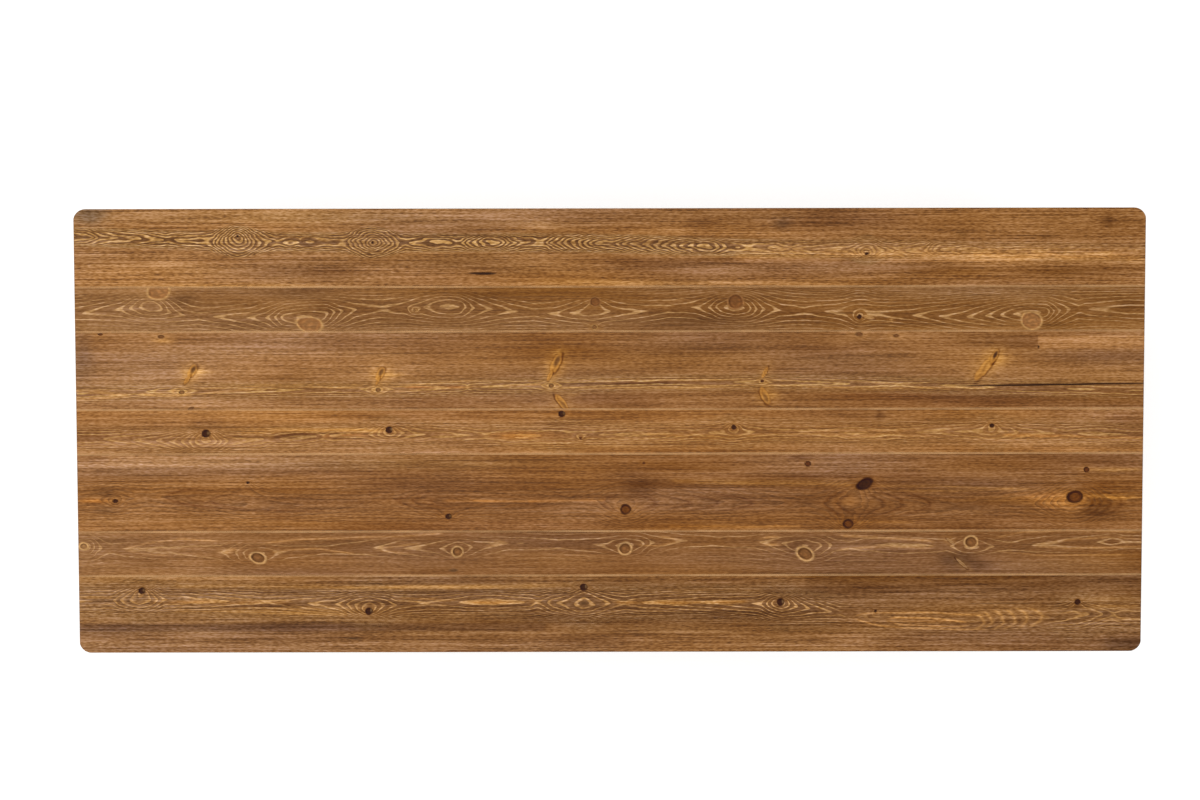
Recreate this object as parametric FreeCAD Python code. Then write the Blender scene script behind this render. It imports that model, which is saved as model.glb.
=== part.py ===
import FreeCAD, Part
import math
import os

os.makedirs("parts", exist_ok=True)

# Folding farm table, millimetres. Origin on the floor under the middle of the top.
# +Z is up and +X runs along the boards.
# Left is -X, right is +X, front is -Y and back is +Y.

# Top: wide and narrow boards in turn, glued edge to edge
top_length = 2438.4
wide_board = 177.8
narrow_board = 101.6
wide_boards = 4
top_thick = 38.1
table_height = 762.0
corner_radius = 27.0
edge_round = 4.0
seam_bevel = 1.2

# Skirt under the top
apron_inset = 45.0
apron_thick = 27.0
apron_depth = 96.0
apron_ease = 3.0

# Cross rails and battens that carry the boards
rail_thick = 27.0
rail_depth = 66.0
rail_foot_gap = 60.0
batten_thick = 20.0
batten_width = 90.0
batten_end_gap = 12.0
batten_ease = 3.0
glue_block_side = 30.0
glue_block_length = 110.0

# Leg frames
leg_side = 83.0
leg_ease = 4.0
fold_gap = 5.5
swing_gap = 1.5
seat_gap = 0.3
leg_rail_thick = 24.0
leg_rail_depth = 54.0
leg_rail_drop = 7.0
leg_rail_inset = 1.5
stretcher_thick = 32.0
stretcher_depth = 88.0
stretcher_height = 190.0
frame_rail_ease = 3.0
tenon_length = 30.0
tenon_thick = 12.0
tenon_shoulder = 10.0
glue_gap = 0.1

# Floor glides
glide_radius = 24.0
glide_height = 7.0
glide_ease = 2.0
glide_stem_radius = 5.0
glide_stem_length = 26.0

# Pivot bolts, washers and nuts
bolt_radius = 5.0
bolt_head_radius = 12.0
bolt_head_height = 6.0
bolt_neck_length = 7.0
bolt_end = 3.0
washer_radius = 13.5
washer_thick = 2.2
nut_radius = 9.8
nut_height = 9.0
run_gap = 0.1
face_gap = 0.2

# Folding stays
stay_reach = 330.0
stay_drop = 240.0
stay_width = 24.0
stay_thick = 4.0
link_gap = 0.4
collar_radius = 10.0
collar_thick = 2.0
rivet_radius = 4.5
rivet_head_radius = 8.0
rivet_head_height = 2.6
rivet_tail_height = 1.2
stud_length = 34.0
stud_radius = 3.5
stud_head_depth = 2.4
stop_tail = 26.0
stop_length = 10.0
stop_thick = 4.0
stop_gap = 0.5

# Stay brackets and wood screws
bracket_width = 52.0
bracket_flange = 40.0
bracket_thick = 4.0
bracket_margin = 15.0
screw_radius = 2.5
screw_head_radius = 4.8
screw_head_height = 2.2
bracket_screw_length = 24.0
batten_screw_length = 44.0
bracket_screw_share = 0.3
batten_screw_shares = (-0.88, -0.3, 0, 0.3, 0.88)
glue_block_shares = (-0.5, 0.5)

# One overrun serves all cuts
overrun = 10.0

# Places worked out from the sizes above
board_widths = [wide_board]
for pair in range(wide_boards - 1):
    board_widths += [narrow_board, wide_board]
top_width = sum(board_widths)
half_length = top_length / 2
half_width = top_width / 2
underside = table_height - top_thick
half_leg = leg_side / 2

pivot_drop = half_leg + fold_gap
head_rise = pivot_drop - seat_gap
head_corner = math.hypot(half_leg, head_rise)
apron_end_x = half_length - apron_inset
apron_side_y = half_width - apron_inset
pivot_x = apron_end_x - apron_thick - head_corner - swing_gap
pivot_z = underside - pivot_drop
leg_outer_y = apron_side_y - apron_thick - washer_thick - face_gap
leg_inner_y = leg_outer_y - leg_side
folded_foot_x = pivot_x - pivot_z

lower_link_y = leg_inner_y - collar_thick - face_gap
upper_link_y = lower_link_y - stay_thick - link_gap
bracket_y = upper_link_y - stay_thick - link_gap
bracket_edge_y = bracket_y - bracket_flange
batten_half = bracket_edge_y - batten_end_gap
batten_x = pivot_x - (leg_rail_drop + pivot_z - stretcher_height) / 2
outer_rail_x = folded_foot_x - rail_foot_gap
leg_rail_offset = half_leg - leg_rail_inset - leg_rail_thick / 2

# The stay is straight when the leg is open. With the leg folded, both links lie along it.
open_span = math.hypot(stay_reach, stay_drop)
upper_link_length = (open_span + stay_reach - stay_drop) / 2
stay_cos = stay_reach / open_span
stay_sin = stay_drop / open_span

SIDES = {"left": -1, "right": 1}
FACES = {"front": -1, "back": 1}


def vec(x, y, z):
    return FreeCAD.Vector(x, y, z)


def block(x_pair, y_pair, z_pair):
    low = [min(pair) for pair in (x_pair, y_pair, z_pair)]
    size = [abs(pair[1] - pair[0]) for pair in (x_pair, y_pair, z_pair)]
    return Part.makeBox(*size, vec(*low))


def eased_block(x_pair, y_pair, z_pair, ease, axis):
    """A block whose four edges along one axis are rounded."""
    solid = block(x_pair, y_pair, z_pair)
    edges = [edge for edge in solid.Edges if abs(edge.tangentAt(edge.FirstParameter).dot(axis)) > 0.9]
    return solid.makeFillet(ease, edges)


def rod(radius, x, y_pair, z):
    """A round rod along Y."""
    length = abs(y_pair[1] - y_pair[0])
    return Part.makeCylinder(radius, length, vec(x, min(y_pair), z), vec(0, 1, 0))


def spun(profile, x, y, z, sign):
    """A profile of (radius, depth) points, turned about a line along Y. Depth runs to the side of sign."""
    points = [vec(x + radius, y + sign * depth, z) for radius, depth in profile]
    face = Part.Face(Part.makePolygon(points + points[:1]))
    return face.revolve(vec(x, y, z), vec(0, 1, 0), 360)


def dome(radius, height):
    """Profile points of a low domed head that stands out from depth 0 to -height."""
    steps = 4
    angles = [math.pi / 2 * step / steps for step in range(steps + 1)]
    return [(radius * math.cos(angle), -height * math.sin(angle)) for angle in angles]


def prism_y(outline, y_pair):
    """A closed outline of edges in an XZ plane at the first Y, drawn out to the second."""
    return Part.Face(Part.Wire(outline)).extrude(vec(0, y_pair[1] - y_pair[0], 0))


def polygon_edges(points):
    return Part.makePolygon(points + points[:1]).Edges


def save(name, *solids):
    shape = solids[0] if len(solids) == 1 else Part.makeCompound(solids)
    shape.exportStep("parts/" + name + ".step")


def screw_hole(x, y, length, head_z):
    return Part.makeCylinder(screw_radius + run_gap, length + run_gap, vec(x, y, head_z), vec(0, 0, 1))


def wood_screw(x, y, length, head_z):
    """A pan head screw driven upwards from a face at head_z."""
    shank = Part.makeCylinder(screw_radius, length, vec(x, y, head_z), vec(0, 0, 1))
    profile = [(0, 0)] + dome(screw_head_radius, screw_head_height)
    points = [vec(x + radius, y, head_z + depth) for radius, depth in profile]
    head = Part.Face(Part.makePolygon(points + points[:1])).revolve(vec(x, y, 0), vec(0, 0, 1), 360)
    return shank.fuse(head)


def batten_screw_places():
    low = underside - batten_thick
    places = []
    for sx in SIDES.values():
        for share in batten_screw_shares:
            places.append((sx * batten_x, share * batten_half, batten_screw_length, low))
    return places


def bracket_screw_places():
    low = underside - bracket_thick
    y = bracket_y - bracket_thick - (bracket_flange - bracket_thick) / 2
    places = []
    for sx in SIDES.values():
        for sy in FACES.values():
            for sign in (-1, 1):
                x = sx * (pivot_x - stay_reach) + sign * bracket_screw_share * bracket_width
                places.append((x, sy * y, bracket_screw_length, low))
    return places


def make_screws():
    save("batten_screws", *[wood_screw(*place) for place in batten_screw_places()])
    save("bracket_screws", *[wood_screw(*place) for place in bracket_screw_places()])


def make_boards():
    slab = eased_block(
        (-half_length, half_length),
        (-half_width, half_width),
        (underside, table_height),
        corner_radius,
        vec(0, 0, 1),
    )
    rims = [edge for edge in slab.Edges if abs(edge.BoundBox.ZLength) < edge_round]
    slab = slab.makeFillet(edge_round, rims)
    slab = slab.cut(Part.makeCompound([batten_holes, bracket_holes]))
    upper = half_width
    shoulder = table_height - seam_bevel
    for number, width in enumerate(board_widths, 1):
        lower = upper - width
        high = upper + overrun if number == 1 else upper
        low = lower - overrun if number == len(board_widths) else lower
        section = [
            (low, underside),
            (high, underside),
            (high, shoulder),
            (high - seam_bevel, table_height),
            (low + seam_bevel, table_height),
            (low, shoulder),
        ]
        points = [vec(-half_length - overrun, y, z) for y, z in section]
        strip = Part.Face(Part.makePolygon(points + points[:1])).extrude(vec(top_length + 2 * overrun, 0, 0))
        save("board_" + str(number), slab.common(strip).Solids[0])
        upper = lower


def make_aprons():
    low = underside - apron_depth
    neck_half = bolt_radius
    for face, sy in FACES.items():
        outer = sy * apron_side_y
        inner = sy * (apron_side_y - apron_thick)
        lower_edge = low + apron_ease
        section = [
            (inner, underside),
            (outer, underside),
            (outer, lower_edge),
            (outer - sy * apron_ease, low),
            (inner + sy * apron_ease, low),
            (inner, lower_edge),
        ]
        points = [vec(-apron_end_x, y, z) for y, z in section]
        apron = Part.Face(Part.makePolygon(points + points[:1])).extrude(vec(2 * apron_end_x, 0, 0))
        for sx in SIDES.values():
            x = sx * pivot_x
            through = (inner - sy * overrun, outer + sy * overrun)
            apron = apron.cut(rod(bolt_radius + run_gap, x, through, pivot_z))
            neck = (outer + sy * overrun, outer - sy * bolt_neck_length)
            apron = apron.cut(
                block((x - neck_half, x + neck_half), neck, (pivot_z - neck_half, pivot_z + neck_half))
            )
        save("apron_" + face, apron)
    inner_y = apron_side_y - apron_thick
    for side, sx in SIDES.items():
        outer = sx * apron_end_x
        inner = sx * (apron_end_x - apron_thick)
        lower_edge = low + apron_ease
        section = [
            (inner, underside),
            (outer, underside),
            (outer, lower_edge),
            (outer - sx * apron_ease, low),
            (inner + sx * apron_ease, low),
            (inner, lower_edge),
        ]
        points = [vec(x, -inner_y, z) for x, z in section]
        save("apron_" + side, prism_y(polygon_edges(points), (-inner_y, inner_y)))


def make_cross_members():
    inner_y = apron_side_y - apron_thick
    for name, x in (("left", -outer_rail_x), ("centre", 0), ("right", outer_rail_x)):
        rail = block(
            (x - rail_thick / 2, x + rail_thick / 2),
            (-inner_y, inner_y),
            (underside - rail_depth, underside),
        )
        save("cross_rail_" + name, rail)
    low = underside - batten_thick
    for side, sx in SIDES.items():
        x = sx * batten_x
        batten = eased_block(
            (x - batten_width / 2, x + batten_width / 2),
            (-batten_half, batten_half),
            (low, underside + batten_ease),
            batten_ease,
            vec(0, 1, 0),
        )
        batten = batten.common(
            block((x - batten_width, x + batten_width), (-inner_y, inner_y), (low - overrun, underside))
        )
        save("batten_" + side, batten.cut(batten_holes))
    blocks = []
    for sx in SIDES.values():
        corner_x = sx * (apron_end_x - apron_thick)
        for share in glue_block_shares:
            y = share * batten_half
            points = [
                vec(corner_x, y - glue_block_length / 2, underside),
                vec(corner_x - sx * glue_block_side, y - glue_block_length / 2, underside),
                vec(corner_x, y - glue_block_length / 2, underside - glue_block_side),
            ]
            blocks.append(prism_y(polygon_edges(points), (0, glue_block_length)))
    for sy in FACES.values():
        corner_y = sy * inner_y
        for share in glue_block_shares:
            x = share * outer_rail_x
            points = [
                vec(x - glue_block_length / 2, corner_y, underside),
                vec(x - glue_block_length / 2, corner_y - sy * glue_block_side, underside),
                vec(x - glue_block_length / 2, corner_y, underside - glue_block_side),
            ]
            face = Part.Face(Part.makePolygon(points + points[:1]))
            blocks.append(face.extrude(vec(glue_block_length, 0, 0)))
    save("glue_blocks", *blocks)


def make_leg(sx, sy):
    xo = sx * (pivot_x + half_leg)
    xi = sx * (pivot_x - half_leg)
    x_mid = sx * pivot_x
    y_in = sy * leg_inner_y
    y_out = sy * leg_outer_y
    top_z = pivot_z + head_rise
    arc_end = math.acos(half_leg / head_rise)
    arc_half = (math.pi / 2 + arc_end) / 2
    knee = vec(xi, y_in, pivot_z + head_rise * math.sin(arc_end))
    bend = vec(x_mid - sx * head_rise * math.cos(arc_half), y_in, pivot_z + head_rise * math.sin(arc_half))
    crown = vec(x_mid, y_in, top_z)
    corners = [knee, vec(xi, y_in, glide_height), vec(xo, y_in, glide_height), vec(xo, y_in, top_z), crown]
    outline = [Part.makeLine(first, second) for first, second in zip(corners, corners[1:])]
    outline.append(Part.Arc(crown, bend, knee).toShape())
    leg = prism_y(outline, (y_in, y_out))
    post = eased_block((xi, xo), (y_in, y_out), (0, table_height), leg_ease, vec(0, 0, 1))
    leg = leg.common(post)
    leg = leg.cut(rod(bolt_radius + run_gap, x_mid, (y_in - sy * overrun, y_out + sy * overrun), pivot_z))
    upper_mortise = (leg_rail_offset, pivot_z - leg_rail_drop, leg_rail_depth)
    lower_mortise = (0, stretcher_height, stretcher_depth)
    for offset, centre_z, depth in (upper_mortise, lower_mortise):
        slot = tenon_thick / 2 + glue_gap
        rise = depth / 2 - tenon_shoulder + glue_gap
        x = x_mid + sx * offset
        leg = leg.cut(
            block(
                (x - slot, x + slot),
                (y_in - sy * overrun, y_in + sy * (tenon_length + glue_gap)),
                (centre_z - rise, centre_z + rise),
            )
        )
    stud_hole = (y_in - sy * overrun, y_in + sy * stud_length)
    leg = leg.cut(rod(stud_radius + glue_gap, x_mid, stud_hole, pivot_z - stay_drop))
    y_mid = (y_in + y_out) / 2
    stem = Part.makeCylinder(
        glide_stem_radius + glue_gap, glide_stem_length + overrun, vec(x_mid, y_mid, glide_height - overrun)
    )
    return leg.cut(stem)


def make_frame_rail(sx, offset, centre_z, thick, depth):
    """A rail between two legs, with a tenon at each end."""
    x = sx * (pivot_x + offset)
    body = eased_block(
        (x - thick / 2, x + thick / 2),
        (-leg_inner_y, leg_inner_y),
        (centre_z - depth / 2, centre_z + depth / 2),
        frame_rail_ease,
        vec(0, 1, 0),
    )
    tenon_y = leg_inner_y + tenon_length
    tenon_rise = depth / 2 - tenon_shoulder
    tenon = block(
        (x - tenon_thick / 2, x + tenon_thick / 2),
        (-tenon_y, tenon_y),
        (centre_z - tenon_rise, centre_z + tenon_rise),
    )
    return body.fuse(tenon).removeSplitter()


def make_glide(sx, sy):
    x = sx * pivot_x
    y = sy * (leg_inner_y + leg_outer_y) / 2
    foot = Part.makeCylinder(glide_radius, glide_height, vec(x, y, 0))
    rim = [edge for edge in foot.Edges if edge.BoundBox.ZMax < glide_ease]
    foot = foot.makeFillet(glide_ease, rim)
    stem = Part.makeCylinder(glide_stem_radius, glide_stem_length + glide_height, vec(x, y, 0))
    return foot.fuse(stem).removeSplitter()


def make_leg_frames():
    for side, sx in SIDES.items():
        for face, sy in FACES.items():
            save("leg_" + face + "_" + side, make_leg(sx, sy))
        rail = make_frame_rail(sx, leg_rail_offset, pivot_z - leg_rail_drop, leg_rail_thick, leg_rail_depth)
        save("leg_rail_" + side, rail)
        stretcher = make_frame_rail(sx, 0, stretcher_height, stretcher_thick, stretcher_depth)
        save("stretcher_" + side, stretcher)
        save("floor_glides_" + side, *[make_glide(sx, sy) for sy in FACES.values()])


def make_pivots():
    bolts = []
    washers = []
    nuts = []
    outer_y = apron_side_y
    inner_apron_y = apron_side_y - apron_thick
    washer_y = leg_inner_y - face_gap
    nut_y = washer_y - washer_thick
    end_y = nut_y - nut_height - bolt_end
    for sx in SIDES.values():
        for sy in FACES.values():
            x = sx * pivot_x
            shank = rod(bolt_radius, x, (sy * outer_y, sy * end_y), pivot_z)
            neck = block(
                (x - bolt_radius, x + bolt_radius),
                (sy * outer_y, sy * (outer_y - bolt_neck_length)),
                (pivot_z - bolt_radius, pivot_z + bolt_radius),
            )
            head = spun([(0, 0)] + dome(bolt_head_radius, bolt_head_height), x, sy * outer_y, pivot_z, -sy)
            bolts.append(shank.fuse([neck, head]))
            for start in (inner_apron_y, washer_y):
                y_pair = (sy * start, sy * (start - washer_thick))
                ring = rod(washer_radius, x, y_pair, pivot_z)
                washers.append(ring.cut(rod(bolt_radius + run_gap, x, y_pair, pivot_z)))
            points = []
            for step in range(6):
                angle = math.pi / 3 * step
                points.append(
                    vec(x + nut_radius * math.cos(angle), sy * nut_y, pivot_z + nut_radius * math.sin(angle))
                )
            y_pair = (sy * nut_y, sy * (nut_y - nut_height))
            nut = prism_y(polygon_edges(points), y_pair)
            nuts.append(nut.cut(rod(bolt_radius + run_gap, x, y_pair, pivot_z)))
    save("pivot_bolts", *bolts)
    save("pivot_washers", *washers)
    save("pivot_nuts", *nuts)


def stay_point(sx, along, across):
    """A point of the open stay: along it from the bracket pivot, and across it towards the leg pivot."""
    inward = stay_reach - along * stay_cos - across * stay_sin
    drop = along * stay_sin - across * stay_cos
    return sx * (pivot_x - inward), pivot_z - drop


def link_plate(sx, start, end, y_pair):
    """A flat link with round ends, between two places along the open stay."""
    half = stay_width / 2

    def at(along, across):
        x, z = stay_point(sx, along, across)
        return vec(x, y_pair[0], z)

    outline = [
        Part.makeLine(at(start, half), at(end, half)),
        Part.Arc(at(end, half), at(end + half, 0), at(end, -half)).toShape(),
        Part.makeLine(at(end, -half), at(start, -half)),
        Part.Arc(at(start, -half), at(start - half, 0), at(start, half)).toShape(),
    ]
    return prism_y(outline, y_pair)


def stop_prism(sx, across_pair, y_pair):
    """The ear and the bent lug that stop the stay when it is straight, beyond the knuckle."""
    low = upper_link_length + stop_tail - stop_length
    high = upper_link_length + stop_tail
    corners = [(low, across_pair[0]), (high, across_pair[0]), (high, across_pair[1]), (low, across_pair[1])]
    points = []
    for along, across in corners:
        x, z = stay_point(sx, along, across)
        points.append(vec(x, y_pair[0], z))
    return prism_y(polygon_edges(points), y_pair)


def make_stay_bracket(sx, sy):
    x = sx * (pivot_x - stay_reach)
    y_pair = (sy * bracket_y, sy * (bracket_y - bracket_thick))
    half = bracket_width / 2
    tip = bracket_margin

    def at(dx, z):
        return vec(x + dx, y_pair[0], z)

    corners = [at(-tip, pivot_z), at(-half, underside), at(half, underside), at(tip, pivot_z)]
    outline = [Part.makeLine(first, second) for first, second in zip(corners, corners[1:])]
    outline.append(Part.Arc(at(tip, pivot_z), at(0, pivot_z - tip), at(-tip, pivot_z)).toShape())
    cheek = prism_y(outline, y_pair)
    flange = eased_block(
        (x - half, x + half),
        (sy * bracket_y, sy * bracket_edge_y),
        (underside - bracket_thick, underside),
        bracket_thick,
        vec(0, 0, 1),
    )
    flange = flange.fuse(
        block(
            (x - half, x + half),
            (sy * bracket_y, sy * (bracket_y - bracket_flange / 2)),
            (underside - bracket_thick, underside),
        )
    )
    bracket = cheek.fuse(flange).removeSplitter()
    through = (sy * (bracket_y + overrun), sy * (bracket_y - overrun))
    return bracket.cut(rod(rivet_radius + run_gap, x, through, pivot_z))


def make_stays():
    rivets = []
    rivet_head = dome(rivet_head_radius, rivet_head_height)
    for side, sx in SIDES.items():
        studs = []
        for face, sy in FACES.items():
            label = face + "_" + side
            upper_pair = (sy * upper_link_y, sy * (upper_link_y - stay_thick))
            lower_pair = (sy * lower_link_y, sy * (lower_link_y - stay_thick))
            through = (sy * (lower_link_y + overrun), sy * (bracket_y - overrun))

            # Upper link, from the bracket to the knuckle, with its stop
            half = stay_width / 2
            upper = link_plate(sx, 0, upper_link_length + stop_tail - half, upper_pair)
            lug_across = (half + stop_gap, half + stop_gap + stop_thick)
            lug_pair = (sy * lower_link_y, sy * (upper_link_y - stay_thick))
            ear = stop_prism(sx, (0, lug_across[1]), upper_pair)
            upper = upper.fuse([ear, stop_prism(sx, lug_across, lug_pair)])
            pivot = stay_point(sx, 0, 0)
            knuckle = stay_point(sx, upper_link_length, 0)
            upper = upper.cut(rod(rivet_radius + run_gap, pivot[0], through, pivot[1]))
            upper = upper.cut(rod(rivet_radius + glue_gap, knuckle[0], through, knuckle[1]))
            save("upper_link_" + label, upper.removeSplitter())

            # Knuckle rivet: its shank ends at the face of the upper link, because the stay is opened there
            inner_y = upper_link_y - stay_thick
            shank = rod(rivet_radius, knuckle[0], upper_pair, knuckle[1])
            head = spun([(0, 0)] + rivet_head, knuckle[0], sy * inner_y, knuckle[1], sy)
            save("knuckle_rivet_" + label, shank.fuse(head))

            # Lower link, from the knuckle to the stud in the leg
            foot = stay_point(sx, open_span, 0)
            lower = link_plate(sx, upper_link_length, open_span, lower_pair)
            lower = lower.cut(rod(rivet_radius + run_gap, foot[0], through, foot[1]))
            sink_y = lower_link_y - stay_thick
            sink = [
                (0, 0),
                (rivet_head_radius + run_gap, 0),
                (rivet_radius + run_gap, stud_head_depth),
                (0, stud_head_depth),
            ]
            lower = lower.cut(spun(sink, foot[0], sy * sink_y, foot[1], sy))
            save("lower_link_" + label, lower)

            # Stud in the leg: countersunk head, shoulder, collar and thread
            shoulder_end = stay_thick + face_gap
            collar_end = shoulder_end + collar_thick
            stud = [
                (0, 0),
                (rivet_head_radius - run_gap, 0),
                (rivet_radius, stud_head_depth),
                (rivet_radius, shoulder_end),
                (collar_radius, shoulder_end),
                (collar_radius, collar_end),
                (stud_radius, collar_end),
                (stud_radius, collar_end + stud_length),
                (0, collar_end + stud_length),
            ]
            studs.append(spun(stud, foot[0], sy * sink_y, foot[1], sy))

            # Bracket under the top and its rivet
            bracket = make_stay_bracket(sx, sy)
            tail_y = upper_link_y + face_gap
            head_y = bracket_y - bracket_thick
            shank = rod(rivet_radius, pivot[0], (sy * tail_y, sy * head_y), pivot[1])
            tail_pair = (sy * tail_y, sy * (tail_y + rivet_tail_height))
            tail = rod(rivet_head_radius, pivot[0], tail_pair, pivot[1])
            head = spun([(0, 0)] + rivet_head, pivot[0], sy * head_y, pivot[1], sy)
            rivets.append(shank.fuse([tail, head]))
            save("stay_bracket_" + label, bracket.cut(bracket_holes))
        save("stay_studs_" + side, *studs)
    save("stay_rivets", *rivets)


batten_holes = Part.makeCompound([screw_hole(*place) for place in batten_screw_places()])
bracket_holes = Part.makeCompound([screw_hole(*place) for place in bracket_screw_places()])
make_boards()
make_screws()
make_aprons()
make_cross_members()
make_leg_frames()
make_pivots()
make_stays()
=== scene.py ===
import math

import bpy
import numpy as np
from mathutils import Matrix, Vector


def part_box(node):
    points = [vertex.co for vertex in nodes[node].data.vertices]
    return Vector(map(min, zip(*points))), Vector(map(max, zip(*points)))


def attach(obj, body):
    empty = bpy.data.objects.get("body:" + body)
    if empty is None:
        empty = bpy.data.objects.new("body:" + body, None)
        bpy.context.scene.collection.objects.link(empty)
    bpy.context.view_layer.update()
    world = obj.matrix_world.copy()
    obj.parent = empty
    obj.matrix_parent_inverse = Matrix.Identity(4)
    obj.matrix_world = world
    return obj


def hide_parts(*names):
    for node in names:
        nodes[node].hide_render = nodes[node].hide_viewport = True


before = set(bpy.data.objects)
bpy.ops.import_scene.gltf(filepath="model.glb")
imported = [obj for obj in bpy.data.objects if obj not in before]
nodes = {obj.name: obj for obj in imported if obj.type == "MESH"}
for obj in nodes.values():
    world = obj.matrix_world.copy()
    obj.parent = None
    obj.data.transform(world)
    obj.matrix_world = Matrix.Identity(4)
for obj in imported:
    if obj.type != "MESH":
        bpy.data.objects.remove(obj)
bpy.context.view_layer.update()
print("frame loaded:", len(nodes), "pieces")

netSize = (2048, 512)  # corners of the noise net before it repeats
netStart = (300, 100)


def toLinear(levels):  # levels 0-255 as seen on screen -> linear values
    level = np.asarray(levels, float) / 255
    return np.where(level <= 0.04045, level / 12.92, ((level + 0.055) / 1.055) ** 2.4)


def linear(*levels):  # the same as a colour for a socket
    return (*toLinear(levels).tolist(), 1.0)


def ease(t):  # 3t^2 - 2t^3, held between 0 and 1
    t = np.clip(t, 0, 1)
    return t * t * (3 - 2 * t)


def bell(t):  # exp(-t^2)
    return np.exp(-(t**2))


def softNoise(x, y, stepX, stepY, seed):  # random values at the corners of a net, eased between them
    table = np.random.default_rng(seed).uniform(-1, 1, netSize)
    gx, gy = x / stepX + netStart[0], y / stepY + netStart[1]
    ix, iy = np.floor(gx).astype(int), np.floor(gy).astype(int)
    tx, ty = ease(gx - ix), ease(gy - iy)

    def corner(right, up):
        return table[(ix + right) % netSize[0], (iy + up) % netSize[1]]

    low = corner(0, 0) * (1 - tx) + corner(1, 0) * tx
    high = corner(0, 1) * (1 - tx) + corner(1, 1) * tx
    return low * (1 - ty) + high * ty


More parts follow.
